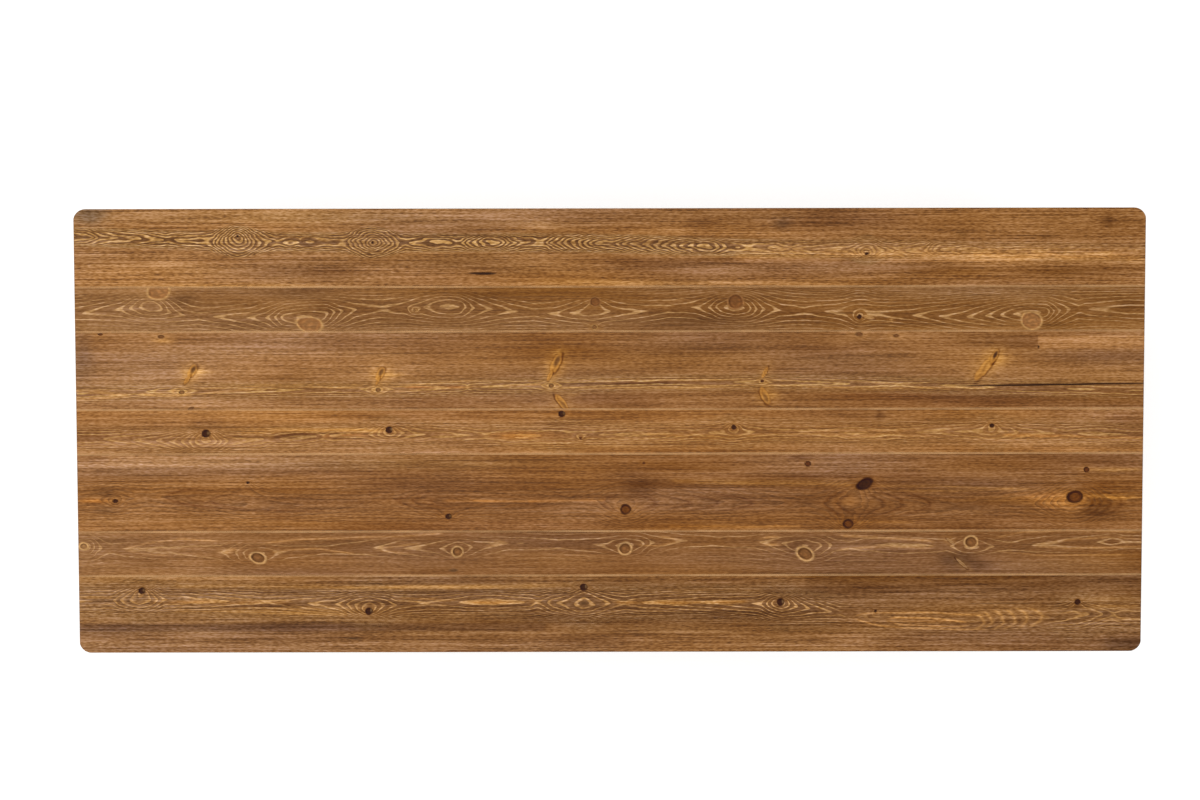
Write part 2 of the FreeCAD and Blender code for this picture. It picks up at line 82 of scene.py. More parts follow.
# Figure of the boards. Places are in picture points of 2.29 mm on the top: x runs with the boards, y from the back
# edge to the front. Colours and levels are red, green, blue from 0 to 255.
# stain, gold, dusk: colours of the wood, its pale ring lines and its dark rings; dark, lineForce: how strong the dark
#   rings and the lines are, with dark lines in place of pale ones where lineForce is below 0
# grain, streaks, rough: strength of the fine grain, of the long streaks and of the waver in the rings
# patchy: least strength of a broken line; duty: width of a line as a share of its ring; arrow: extra width at a tip
# near: width of a ring at the heart line; reach: distance from it over which twice as many rings lie
# soften: rounding of the rings beside a knot; band: (half width of the drawn rings, fade, strength outside)
# along: (x, strength of the rings); centre: share of a ring between two tips that face each other
# thread: strength of the threads; fine: (first x, last x, y) of a finer net
# heart: line that the rings lie round; tips: x where a ring closes to a point, with a minus where it opens to the right
# strips: (first y, last y, levels added); blocks: (left, top, right, bottom, levels added)
# knots: (x, y, half length, half width, turn in degrees, kind)
# spikes: (x, y, half length, half width, turn, darkness of the core), branch cuts, in the colour spikeGold
# threads: (points along the line, half width, levels added), long lines of the grain
# vees: (x, y, way it points, length of the arms, half height, levels added), single rings cut at their tip
# patches: (x, y, half length, half width, levels added)
boardFigures = {
    "board_1": dict(
        stain=(156, 109, 64), gold=(206, 156, 90), dusk=(98, 63, 34), dark=0.85, grain=0.70, streaks=0.8, rough=0.4,
        patchy=0.35, duty=0.42, near=3.9, reach=9.5, lineForce=1.0, band=(8, 3, 0.14), soften=2.6,
        heart=[(72, 236), (160, 239), (237, 241), (372, 242), (491, 242), (620, 244), (704, 247), (780, 249),
            (866, 251), (940, 250), (1030, 252), (1146, 254)],
        tips=[84, 91, 98, 111, 140, 160, -171, -212, -216, -220, -224, -229, 245, 251, 256, 263, 270, -283, 296, -301,
            318, -346, -351, -356, -361, 383, 389, 394, 399, -411, -424, 449, -462, -466, -472, -478, -484, 498, 503,
            507, 516, 531, -546, -551, -556, -563, -570, -576, -582, -589, -598, -617, -625, -632, -641, -650, -659,
            -669, -679, -689, -697, 713, 721, 729, -764, 788, -792, -804, -849, -856, 874, 881, 892, -902, -924, -928,
            -932, -939, -958, 996, -1002, -1031, -1054, -1082, -1117],
        strips=[(268, 290, 3, 2, 1)],
        knots=[(237, 235.5, 1.5, 1.5, 0, "eye"), (372, 242, 1.6, 1.6, 0, "eye"), (866, 254, 1.8, 1.6, 0, "pin"),
            (483, 273.2, 13.5, 1.4, 1, "pitch")],
        along=[(72, 1), (700, 1), (800, 0.7), (1000, 0.5), (1146, 0.4)],
        threads=[([(730, 252), (860, 254), (1000, 255), (1150, 256)], 7.5, (51, 40, 23)),
            ([(960, 257), (1060, 259), (1150, 260)], 3.0, (14, 10, 3))],
        patches=[(88, 214, 18, 10, -38, -24, -5), (781, 224, 9, 6, -24, -18, -7), (1108, 221, 5, 5, -38, -36, -30),
            (962, 234, 5, 4, -20, -18, -16), (1046, 238, 8, 5, -16, -15, -13), (850, 222, 60, 9, -14, -14, -12),
            (700, 225, 14, 8, -14, -14, -12), (470, 262, 60, 8, -19, -18, -16), (300, 271, 60, 8, -22, -21, -18),
            (640, 264, 50, 7, -12, -12, -10), (855, 261, 18, 3, -24, -23, -20), (1060, 272, 90, 6, -18, -17, -14),
            (930, 268, 60, 5, -14, -13, -10), (164, 261, 14, 5, 14, 13, 11), (540, 225, 14, 4, 16, 15, 12),
            (760, 256, 120, 2.2, 26, 22, 12), (1000, 254, 140, 5, 14, 10, 4), (700, 283, 140, 3, 9, 8, 4),
            (600, 282, 60, 3, 12, 10, 5), (230, 285, 70, 1.6, 18, 16, 8), (620, 275, 110, 6, -8, -9, -11),
            (900, 276, 140, 7, -8, -9, -12), (300, 217, 150, 7, 6, 9, 9)],
    ),
    "board_2": dict(
        stain=(136, 92, 49), gold=(206, 158, 100), dusk=(118, 80, 47), dark=0.3, grain=0.48, streaks=0.6, rough=0.08,
        patchy=0.5, duty=0.23, near=5.4, reach=26.0, lineForce=0.88, arrow=0.9, band=(7, 9, 0.6), soften=5,
        spikeGold=(196, 147, 90),
        heart=[(72, 313), (150, 305), (182, 315), (250, 318), (309, 316), (357, 309), (448, 306), (513, 311),
            (555, 314), (594, 311), (645, 311), (694, 307), (735, 308), (780, 311), (828, 312), (869, 314),
            (913, 316), (962, 318), (1031, 313), (1071, 309), (1086, 309), (1146, 310)],
        tips=[-76, -122, -132, -142, 160, 169, 182, -217, -251, -268, -276, -283, 326, 333, 341, 357, -405, -421,
            -436, 460, 466, 475, 491, 513, -554, -572, 606, 645, -694, -710, -718, 748, 755, 764, 780, -828, -868,
            -913, -937, -962, -984, -1004, 1046, 1052, 1059, 1071, -1086, -1128],
        knots=[(158, 290.5, 12.5, 8.5, -8, "tan"), (309, 324, 13.5, 8, 8, "tan"), (414, 310, 2.2, 1.8, 0, "ring"),
            (594.5, 301.5, 5.8, 5.2, 0, "brown"), (735, 301.5, 8.4, 8, 0, "brown"), (859, 317, 2.4, 2.4, 0, "black"),
            (1031, 321, 11, 9, 10, "tan"), (594, 327, 3, 2.5, 0, "ring")],
        spikes=[(868, 317.5, 6.5, 2.2, 12, 0), (891, 320.3, 2.6, 0.8, 0, 0), (891, 322.2, 2.6, 0.8, 0, 0)],
        patches=[(182, 299, 14, 6, -20, -18, -14), (298, 293, 30, 6, -14, -13, -11), (322, 308, 14, 8, -12, -12, -10),
            (475, 297, 26, 6, -14, -13, -11), (240, 313, 14, 4, 22, 20, 14), (690, 318, 40, 8, -10, -9, -8),
            (1000, 318, 20, 6, -14, -13, -11), (1128, 306, 14, 5, -22, -21, -18), (1046, 326, 16, 3, -18, -16, -13),
            (800, 312, 22, 6, -8, -8, -6)],
    ),
    "board_3": dict(
        stain=(151, 105, 62), gold=(206, 157, 90), dusk=(114, 75, 42), dark=0.5, grain=0.57, streaks=0.6, rough=0.16,
        patchy=0.55, duty=0.28, near=3.2, reach=9.0, lineForce=0.9, band=(6, 5, 0.16), soften=1,
        spikeGold=(206, 142, 64), thread=1.3,
        heart=[(72, 393), (181, 391), (300, 389), (378, 389), (551, 385.5), (660, 383), (762, 382), (900, 385),
            (1146, 392)],
        tips=[122, -143, -168, 192, 300, -366, 386, 466, -470, -540, 560, -740, 776, 860, -930, 1010],
        strips=[(388, 412, -4, -5, -5), (331, 350, -3, -3, -2)],
        blocks=[(1038, 336.5, 1150, 349.6, 28, 23, 16), (985, 336, 1038, 348, -7, -6, -3),
            (72, 349, 1150, 350, -8, -8, -7)],
        knots=[(100, 333.5, 2.4, 1.4, 0, "red"), (161, 336, 4, 2.2, 0, "faint"), (181.5, 391.5, 3.4, 2.4, 0, "ring"),
            (378, 389.5, 3.2, 2.6, 0, "ring"), (551, 385.5, 3.2, 2.6, 0, "ring"), (762, 381.3, 1.8, 1.6, 0, "red"),
            (859, 334.5, 4.5, 2.6, 0, "faint"), (896, 336, 3.6, 2, 0, "faint"), (191, 408, 3.6, 2, -20, "faint"),
            (1038.5, 347.5, 1.1, 1.6, 0, "pitch"), (1053, 385.2, 93, 1.15, -0.7, "pitch")],
        spikes=[(192, 370.5, 7.5, 4.0, -58, 0.75), (187, 379, 6, 2.0, -56, 0), (380, 373.5, 7.5, 3.8, -62, 0.6),
            (377.5, 381, 5, 1.4, -62, 0), (555.5, 363.5, 11, 4.4, -64, 0.6), (549.5, 376, 5.5, 2.2, -62, 0),
            (561.5, 402.5, 11, 3.4, 52, 0.4), (764.5, 373, 6.5, 2.0, -64, 0.1), (764.5, 396, 9.5, 4.0, 64, 0.4),
            (984, 369, 16, 4.4, -52, 0.1), (994.2, 357, 7.5, 3.2, -62, 1.0)],
        threads=[([(66, 389.5), (100, 391.3), (134, 394)], 1.8, (48, 40, 22)),
            ([(66, 398.5), (104, 396.3), (134, 394)], 1.6, (46, 38, 21)),
            ([(66, 393.5), (84, 393.6), (112, 394)], 1.2, (-24, -22, -15)),
            ([(134, 394), (162, 392), (182, 389)], 1.7, (44, 37, 20)),
            ([(134, 394), (165, 395), (196, 394)], 1.3, (42, 35, 19)),
            ([(186, 389), (236, 386.5), (280, 384), (366, 384.5)], 0.8, (34, 29, 15)),
            ([(196, 394), (220, 391), (260, 387.5), (300, 387), (370, 387.5)], 0.9, (40, 34, 18)),
            ([(386, 387), (420, 384), (463, 380.5), (548, 381)], 0.8, (34, 29, 15)),
            ([(388, 390), (420, 390), (462, 387), (510, 385), (548, 384.5)], 1.0, (42, 34, 16)),
            ([(400, 386.5), (440, 386.5), (466, 386.5)], 0.9, (30, 10, -4)),
            ([(556, 381), (600, 379.5), (680, 380), (758, 381)], 0.9, (32, 27, 14)),
            ([(556, 387), (600, 388), (690, 388), (758, 384)], 0.9, (34, 29, 15)),
            ([(766, 381), (830, 381), (916, 385)], 0.8, (32, 27, 14)),
            ([(766, 385), (850, 388), (970, 387.5)], 0.9, (36, 30, 15)),
            ([(610, 384), (640, 383), (676, 383.5)], 1.2, (-34, -32, -24))],
        patches=[(82, 356, 11, 30, -18, -13, -3), (198, 371, 13, 2.6, 24, 21, 10), (392, 374.5, 12, 2.2, 26, 22, 11),
            (560, 352, 5, 4, 22, 20, 11), (551, 385, 7, 4.5, 30, 26, 14), (378, 389.5, 11, 4, 26, 22, 10),
            (182, 391, 10, 3.4, 24, 21, 10), (1000, 361, 12, 6, 16, 13, 5), (774, 395, 7, 3, 16, 14, 7),
            (572, 394, 7, 3, 16, 14, 7), (762, 382, 8, 2.6, 26, 22, 10), (163, 340, 10, 2.4, 30, 25, 13),
            (193, 372, 12, 7, 13, 10, 3), (382, 375, 12, 7, 12, 9, 3), (555, 369, 9, 15, 12, 8, 0),
            (767, 392, 8, 9, 12, 9, 2), (1000, 342, 40, 7, -10, -8, -5), (975, 398, 70, 8, -12, -13, -12),
            (820, 352, 60, 8, -8, -8, -6), (870, 343, 18, 4, -16, -15, -13), (560, 340, 30, 7, -12, -12, -10),
            (196, 352, 70, 10, 10, 10, 9), (620, 400, 60, 6, -8, -9, -8), (580, 352, 70, 8, -6, -6, -5),
            (880, 395, 60, 5, -8, -9, -8), (1100, 357, 60, 6, -13, -11, -4), (660, 383, 34, 1.8, -22, -22, -18),
            (700, 387, 120, 1.6, 18, 15, 7), (900, 389, 90, 2.4, 16, 13, 5), (300, 384, 120, 1.4, 14, 12, 6),
            (260, 360, 90, 12, -5, -6, -6), (280, 402, 100, 6, 6, 8, 10)],
    ),
    "board_4": dict(
        stain=(159, 108, 59), gold=(206, 155, 88), dusk=(116, 75, 40), dark=0.5, grain=0.56, streaks=1.3, rough=0.2,
        patchy=0.3, duty=0.32, near=4.0, reach=13.0, lineForce=0.7, band=(9, 8, 0.18), soften=2.5,
        heart=[(76, 437), (205, 441), (300, 437), (389, 433), (520, 436), (640, 434), (734, 432), (880, 433),
            (992, 432), (1144, 436)],
        tips=[-100, -134, -158, -173, -182, -190, -196, 214, 220, 227, 262, -276, 316, -330, -368, -378, 402, 430,
            470, -500, 540, -600, 680, -712, 760, -830, 870, -920, -966, 1010, 1023, 1054, -1078, 1120],
        knots=[(205.8, 433, 4.4, 4.2, 0, "black"), (389, 429.3, 3.8, 3.6, 0, "black"),
            (561.5, 413.8, 3.8, 3.4, 0, "black"), (733.6, 427.4, 2.7, 2.6, 0, "black"),
            (992, 426, 2.4, 2.2, 0, "black"), (580.7, 438, 1.6, 1.4, 0, "red")],
        threads=[([(236, 433), (300, 430.5), (350, 429.5), (386, 431)], 1.5, (34, 27, 12)),
            ([(268, 436), (290, 434.8), (320, 435)], 2.5, (-38, -35, -25)),
            ([(324, 435), (336, 435.2), (352, 436)], 2.0, (-34, -31, -22)),
            ([(138, 438), (156, 438.6), (174, 439)], 1.8, (-30, -27, -19)),
            ([(318, 436), (345, 434), (372, 434)], 1.5, (30, 17, 3)),
            ([(1000, 436), (1060, 437), (1150, 439)], 1.7, (30, 17, 3)),
            ([(640, 434), (700, 437), (760, 436)], 1.5, (24, 18, 6))],
        patches=[(520, 435.5, 27, 3.4, 25, 6, -18), (556, 425, 16, 5, -16, -15, -12), (880, 416, 5, 5, -28, -26, -20),
            (90, 436, 16, 8, -16, -16, -14), (295, 436, 20, 3.4, -30, -29, -22), (205, 423, 16, 5, -14, -14, -10),
            (400, 424, 10, 4, -14, -14, -11), (735, 434, 12, 3, -16, -15, -11), (1120, 420, 16, 6, -14, -15, -13),
            (1120, 446, 22, 3, -20, -21, -18), (300, 429, 80, 1.8, 26, 21, 9), (360, 430, 26, 2, 22, 18, 8),
            (870, 434, 50, 4, 14, 11, 4), (1020, 436, 50, 4, 14, 11, 4), (700, 437, 80, 5, 10, 8, 3),
            (560, 446, 60, 4, 6, 5, 2), (520, 452, 180, 1.8, -12, -12, -10), (1050, 444, 70, 6, 23, 21, 19)],
    ),
    "board_5": dict(
        stain=(147, 99, 55), dusk=(92, 55, 25), grain=0.56, streaks=1.1, rough=0.2, patchy=0.35, duty=0.34, near=6.0,
        reach=20.0, lineForce=-0.72, band=(18, 12, 0.22), soften=3, thread=1.15,
        heart=[(78, 500), (167, 496), (280, 506), (399, 500), (520, 502), (625, 500), (752, 503), (850, 504),
            (960, 506), (1074, 504), (1144, 500)],
        tips=[-100, 130, -167, -212, 250, 320, -399, -414, -428, 470, 540, -598, -606, 648, 660, 690, 718, 752, 790,
            -826, -838, 862, 869, 884, 903, 930, -990, -1034, -1046, -1055, 1092, 1100, 1112],
        strips=[(450, 475, -1, 1, 4), (520, 534, 2, 1, 0)],
        knots=[(115.5, 500.3, 3, 2, 0, "black"), (248, 482, 1.7, 1.4, 0, "pin"), (448.5, 516, 3.6, 2.8, 0, "black"),
            (625.5, 509.5, 5.4, 5.2, 0, "dark"), (644, 463, 1.5, 1.4, 0, "red"), (808, 464, 3, 2.8, 0, "red"),
            (864.5, 484.5, 9, 5.4, -26, "black"), (848.3, 524, 5.2, 4.8, 0, "dark"),
            (1086.6, 470.5, 2.9, 2.7, 0, "red"), (1074.5, 497.5, 8.2, 6.2, -6, "dark")],
        vees=[(690, 503, 1, 26, 6, (-24, -21, -14)), (718, 503, 1, 32, 8, (-24, -21, -14)),
            (752, 503, 1, 44, 10, (-24, -21, -14)), (656, 503, 1, 18, 8, (-20, -18, -12)),
            (604, 503, -1, 16, 9, (-18, -16, -10)), (399, 500, -1, 40, 9, (-20, -18, -12)),
            (414, 500, -1, 30, 6, (-20, -18, -12)), (430, 500, -1, 24, 4, (-16, -14, -9)),
            (167, 496, -1, 46, 11, (-20, -18, -12)), (188, 497, -1, 40, 7, (-18, -16, -10)),
            (212, 500, -1, 36, 9, (-18, -16, -10)), (884, 504, 1, 16, 9, (-24, -21, -14)),
            (903, 504, 1, 26, 12, (-24, -21, -14)), (930, 504, 1, 44, 14, (-22, -19, -13)),
            (838, 504, -1, 12, 9, (-24, -21, -14)), (826, 504, -1, 20, 13, (-24, -21, -14)),
            (1092, 504, 1, 9, 9, (-22, -19, -13)), (1100, 505, 1, 12, 11, (-22, -19, -13)),
            (1110, 505, 1, 16, 12, (-20, -17, -11)), (1122, 504, 1, 22, 13, (-16, -14, -9)),
            (1052, 503, -1, 12, 7, (-20, -17, -11)), (1040, 503, -1, 20, 10, (-18, -16, -10))],
        threads=[([(440, 500), (520, 501), (610, 500)], 1.2, (30, 18, 3)),
            ([(666, 481), (760, 484), (856, 485)], 2.2, (22, 17, 6)),
            ([(872, 486), (940, 487), (1034, 490)], 1.3, (30, 24, 10)),
            ([(1100, 498), (1120, 499), (1146, 499)], 2.0, (24, 19, 8)),
            ([(1092, 471), (1120, 471), (1146, 470.5)], 1.8, (20, 17, 8)),
            ([(664, 526), (740, 527), (806, 526)], 1.2, (26, 19, 7)),
            ([(852, 523), (880, 522), (918, 523)], 1.0, (24, 18, 7)),
            ([(300, 478), (420, 477), (560, 478)], 0.8, (-18, -16, -11)),
            ([(700, 476), (800, 477), (930, 476)], 0.9, (-20, -18, -12)),
            ([(160, 492), (230, 488), (330, 489)], 0.8, (-20, -18, -12)),
            ([(160, 502), (230, 508), (330, 511)], 0.8, (-20, -18, -12)),
            ([(900, 497), (980, 499), (1040, 500)], 0.9, (-20, -18, -12))],
        patches=[(95, 500, 16, 2, 24, 11, -3), (106, 491, 12, 5, -18, -14, -8), (106, 510, 12, 4, -18, -14, -8),
            (200, 462, 110, 8, 14, 13, 10), (448, 506, 26, 8, -10, -10, -8), (640, 488, 18, 11, -22, -20, -15),
            (630, 474, 22, 4, -14, -13, -9), (850, 503, 15, 5, 18, 13, 6), (760, 482, 80, 4, 12, 9, 2),
            (930, 491, 60, 1.8, 20, 16, 6), (1010, 500, 40, 3, 16, 13, 5), (1060, 502, 26, 9, 42, 32, 18),
            (1112, 497, 26, 2.4, 45, 36, 18), (1098, 512, 18, 7, -22, -19, -13), (1100, 486, 40, 5, -10, -10, -7),
            (1110, 470, 34, 2.4, 22, 18, 8), (806, 476, 20, 3, -14, -13, -10), (800, 458, 10, 3, -20, -19, -15),
            (860, 514, 22, 3, -18, -16, -10), (888, 488, 30, 4, -8, -8, -6), (280, 516, 20, 6, -8, -8, -6),
            (92, 459, 14, 5, -14, -14, -12), (720, 520, 100, 6, -6, -6, -5), (420, 484, 140, 4, -4, -4, -3),
            (1034, 497, 24, 5, 22, 16, 10), (1074, 486, 14, 4, 9, 10, 11), (980, 480, 70, 9, -8, -7, -5),
            (970, 506, 60, 8, -7, -5, -1), (400, 463, 140, 7, 8, 10, 8), (500, 524, 120, 6, -5, -5, -2)],
    ),
    "board_6": dict(
        stain=(133, 89, 50), gold=(200, 152, 98), dusk=(120, 82, 49), dark=0.3, grain=0.46, streaks=0.6, rough=0.1,
        patchy=0.5, duty=0.2, near=6.2, reach=32.0, lineForce=0.85, arrow=0.8, band=(5, 7, 0.36), soften=4,
        spikeGold=(188, 142, 90), thread=1.45,
        heart=[(78, 546), (124, 548), (226, 551), (258, 552), (369, 548), (458, 548), (509, 543), (625, 546),
            (680, 541), (756, 542), (806, 546), (870, 545), (938, 546), (971, 548), (1033, 546), (1112, 543),
            (1144, 544)],
        tips=[90, 98, -124, -220, -236, -246, 276, -369, -400, -446, 470, 509, -608, 642, 652, 681, -756, -790, 820,
            832, -866, 938, -956, 986, -1033, -1100, 1124],
        strips=[(560, 578, 1, 1, 1)],
        knots=[(84, 545.5, 5.2, 4.2, 0, "loop"), (258, 557, 9, 6.4, 18, "pale"), (457.7, 551.3, 6.4, 6, 0, "pale"),
            (625, 548.8, 7.4, 6.8, 0, "pale"), (805.6, 554, 10.5, 7, 24, "pale"), (971, 542.5, 7.4, 6.6, 0, "pale"),
            (454, 570, 5, 1.4, 0, "dust")],
        spikes=[(962, 564, 8, 1.5, 42, 0.2), (951, 542, 5.5, 1.6, 38, 0)],
        threads=[([(122, 548), (150, 542), (182, 538.5), (222, 540)], 0.8, (40, 34, 22)),
            ([(122, 549), (144, 553), (172, 555)], 0.8, (34, 29, 19)),
            ([(268, 553), (290, 549), (318, 547.8), (358, 554)], 0.8, (40, 34, 22)),
            ([(262, 543), (300, 538.5), (412, 535.5), (446, 533)], 0.8, (34, 29, 19)),
            ([(370, 548), (396, 546), (424, 543)], 0.9, (44, 38, 25)),
            ([(370, 549), (390, 551), (414, 553.5)], 0.8, (38, 32, 21)),
            ([(488, 540), (500, 541), (510, 542.5)], 0.9, (46, 40, 27)),
            ([(484, 546), (498, 545), (510, 543)], 0.8, (42, 36, 24)),
            ([(656, 536), (670, 538), (682, 540.5)], 0.9, (46, 40, 27)),
            ([(634, 545), (660, 546), (682, 541)], 0.8, (42, 36, 24)),
            ([(756, 541), (764, 538), (784, 537)], 1.3, (48, 41, 27)),
            ([(756, 542), (766, 545), (786, 545)], 1.3, (48, 41, 27)),
            ([(836, 536), (880, 538), (930, 541), (938, 544)], 1.2, (44, 38, 25)),
            ([(836, 550), (880, 547), (930, 548), (938, 545)], 1.2, (42, 36, 23)),
            ([(1032, 546), (1060, 541), (1110, 538), (1146, 540)], 0.8, (34, 29, 19)),
            ([(1032, 547), (1070, 549), (1146, 547)], 0.8, (34, 29, 19)),
            ([(990, 540), (1020, 533), (1060, 531), (1146, 533)], 0.8, (30, 26, 17)),
            ([(992, 552), (1040, 556), (1146, 555)], 0.8, (26, 22, 14))],
        patches=[(225.5, 551.3, 7, 2.3, 44, 39, 28), (234, 549, 5, 1.2, 30, 26, 18), (340, 546, 60, 6, -10, -9, -7),
            (796, 546, 14, 10, -14, -13, -10), (958, 560, 20, 8, -30, -25, -17), (982, 566, 14, 5, -20, -18, -14),
            (900, 548, 40, 8, -8, -8, -6), (560, 545, 40, 9, -4, -4, -3), (190, 548, 40, 12, 6, 5, 4),
            (1112, 543, 9, 2.6, -8, -8, -6), (110, 540, 20, 4, -10, -9, -8), (1060, 565, 90, 7, 8, 9, 9),
            (400, 565, 90, 6, -4, -4, -5)],
    ),
    "board_7": dict(
        stain=(138, 95, 54), gold=(202, 150, 88), dusk=(100, 65, 35), dark=0.6, grain=0.68, streaks=1.6, rough=0.15,
        patchy=0.35, duty=0.28, near=4.2, reach=16.0, lineForce=0.95, band=(13, 10, 0.2), soften=3, thread=1.1,
        centre=0.68,
        heart=[(80, 600), (142, 598), (250, 601), (369, 605), (480, 602), (584, 604), (700, 602), (781, 605),
            (830, 612), (876, 619), (930, 622), (1050, 619), (1104, 615), (1142, 616)],
        tips=[-114, -120, -130, 150, 157, 163, 230, -300, -336, -346, -354, 386, 398, -455, 531, -545, -553, -572,
            597, 612, -640, -700, -762, -770, 796, 810, 828, -852, 988, 997, 1004, 1014, 1023, 1034, 1050, 1090, 1104,
            -1124],
        strips=[(634, 660, 3, 2, 2)],
        knots=[(142.3, 589.8, 3.6, 3.4, 0, "black"), (369.3, 610.6, 4, 3.8, 0, "black"),
            (584, 587, 4, 3.8, 0, "black"), (781, 602.3, 4.2, 4, 0, "black"), (876, 611.5, 1.6, 1.4, 0, "pin"),
            (1078, 602.7, 3, 3, 0, "black"), (354, 638, 9, 1, 2, "dust"), (1000, 604, 30, 0.6, 0, "dust"),
            (584, 603, 6, 2.4, 0, "dust")],
        vees=[(992, 621, 1, 9, 9, (34, 28, 16)), (1004, 620.5, 1, 10, 10, (34, 28, 16)),
            (1016, 620, 1, 11, 10, (34, 28, 16)), (1028, 619, 1, 12, 11, (34, 28, 16)),
            (1042, 618, 1, 14, 10, (32, 26, 14)), (984, 622, 1, 8, 8, (34, 28, 16))],
        threads=[([(170, 586), (280, 586), (390, 587), (578, 585)], 2.0, (30, 23, 9)),
            ([(156, 592), (300, 591.5), (420, 592), (572, 590.5)], 1.0, (-34, -30, -21)),
            ([(120, 588), (200, 589), (330, 589.5)], 0.8, (-26, -23, -16)),
            ([(221, 606), (260, 605), (296, 604)], 1.6, (-40, -35, -24)),
            ([(444, 606), (490, 605.5), (540, 605)], 1.6, (-40, -35, -24)),
            ([(166, 601), (230, 602.5), (296, 601.5)], 1.5, (26, 17, 3)),
            ([(390, 598), (430, 599), (462, 600)], 1.2, (30, 21, 6)),
            ([(456, 602), (500, 602.5), (542, 601.5)], 1.5, (32, 21, 4)),
            ([(170, 610), (260, 612), (352, 614)], 1.4, (30, 23, 9)),
            ([(80, 597), (100, 597), (118, 598)], 1.2, (30, 22, 7)),
            ([(400, 612), (460, 610), (540, 611)], 0.9, (-26, -23, -16)),
            ([(610, 603), (680, 603.5), (752, 602.5)], 1.6, (34, 23, 5)),
            ([(606, 597), (680, 599), (760, 599)], 0.9, (-26, -23, -16)),
            ([(606, 609), (690, 608), (764, 606)], 0.9, (-26, -23, -16)),
            ([(612, 614), (700, 612), (776, 610)], 0.8, (-22, -19, -13)),
            ([(664, 591), (710, 590), (766, 591)], 1.3, (26, 20, 8)),
            ([(606, 619), (690, 618), (780, 615)], 0.8, (-22, -19, -13)),
            ([(806, 592.5), (950, 592), (1146, 592.5)], 0.8, (-18, -16, -12)),
            ([(852, 617.5), (862, 614), (880, 612.5), (930, 613.5), (990, 616)], 0.9, (66, 53, 31)),
            ([(852, 618), (862, 621.5), (880, 626), (930, 629.5), (990, 630)], 0.9, (60, 48, 28)),
            ([(886, 619.5), (896, 617.5), (930, 619), (960, 621.5), (973, 624)], 0.8, (72, 57, 33)),
            ([(886, 620.5), (900, 624.5), (930, 627), (960, 627), (973, 625)], 0.8, (72, 57, 33)),
            ([(1086, 606), (1110, 607), (1144, 606)], 1.3, (28, 21, 9)),
            ([(324, 637), (346, 637), (370, 638)], 0.8, (-34, -31, -24))],
        along=[(72, 1), (826, 1), (850, 0.25), (1046, 0.25), (1062, 0.8), (1146, 0.8)],
        fine=[(848, 1050, 620)],
        blocks=[(72, 623, 545, 631, -17, -13, -6), (806, 570, 1150, 592, -17, -15, -12)],
        patches=[(290, 627, 260, 4.6, -14, -13, -9), (110, 630, 52, 8, -14, -12, -7), (330, 625, 70, 3, -12, -11, -8),
            (560, 618, 40, 6, -20, -19, -14), (1128, 644, 26, 7, -34, -29, -20), (1108, 612, 10, 4, -24, -22, -16),
            (430, 587, 120, 2.2, 36, 27, 10), (495, 602, 34, 2.2, 40, 28, 9), (690, 602, 70, 2.4, 36, 26, 9),
            (200, 601, 60, 2.2, 20, 12, 2), (300, 610, 60, 4, 20, 15, 5), (140, 580, 60, 3, 10, 8, 4),
            (800, 592, 26, 5, -14, -13, -10), (700, 614, 90, 3, -14, -13, -10), (930, 622, 40, 1.6, 22, 15, 5),
            (1110, 600, 36, 3, 16, 12, 4), (1110, 609, 30, 2.4, 22, 17, 7), (900, 582, 220, 6, -8, -8, -6),
            (700, 620, 100, 6, -10, -10, -8), (1120, 620, 30, 2, 16, 12, 5), (380, 600, 12, 4, -16, -15, -11),
            (600, 640, 40, 6, -10, -9, -7), (950, 642, 160, 7, 4, 5, 7)],
    ),
}

plainFigure = dict(  # for what the figure of a board leaves out
    strips=[], blocks=[], spikes=[], threads=[], vees=[], fine=[], along=[(0, 1)], thread=1.0, centre=0.46, arrow=0.5,
)

topForm = dict(
    point=0.0022885,  # metres on the top for one picture point
    keystone=0.0113,  # the back edge is nearer to the camera by this share
    left=(72.0, 80.2), right=(1146.0, 1141.6), back=208.1, front=652.2,  # the outline in the picture
    cornerRadius=0.027, edgeRound=0.004, seamBevel=0.0012,
    coarseStep=0.006, fineStep=0.003, rowStep=0.0016, leastStep=0.00005,
    cornerTurns=10, rimTurns=6, underRows=14, capColumns=24, capRows=8,
    guard=0.002,  # rows this near to a sharp edge keep it sharp
    faceDepth=0.001, rimDepth=0.0035, footDepth=0.0365,  # end of the face, start and end of the side
    bareWidth=0.0018, bareFade=0.0007,  # worn wood along the seams
    sheen=0.006, blackest=0.002,  # light that the varnish adds, taken off the stain, and the least that is left
)
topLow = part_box("board_7")[0]
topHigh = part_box("board_1")[1]

ringForm = dict(
    sway=0.7, waver=1.6, drift=0.22,  # noise in the heart line, in the places of the tips and in the ring count
    straightFrom=4, straightOver=18,  # points from the heart line where the rings begin to run straight, and over which
    heartWindows=(61, 401), levelWindows=(11, 301),  # smoothing near the heart line and far from it, in half points
    besideKnot=26, bentShare=0.9, moreReach=14,  # along x beside a large knot, where the rings stay bent and wide
    tipRound=0.9,  # points of rounding at the heart line
    sideRing=0.006,  # metres between the rings on the board's sides
)

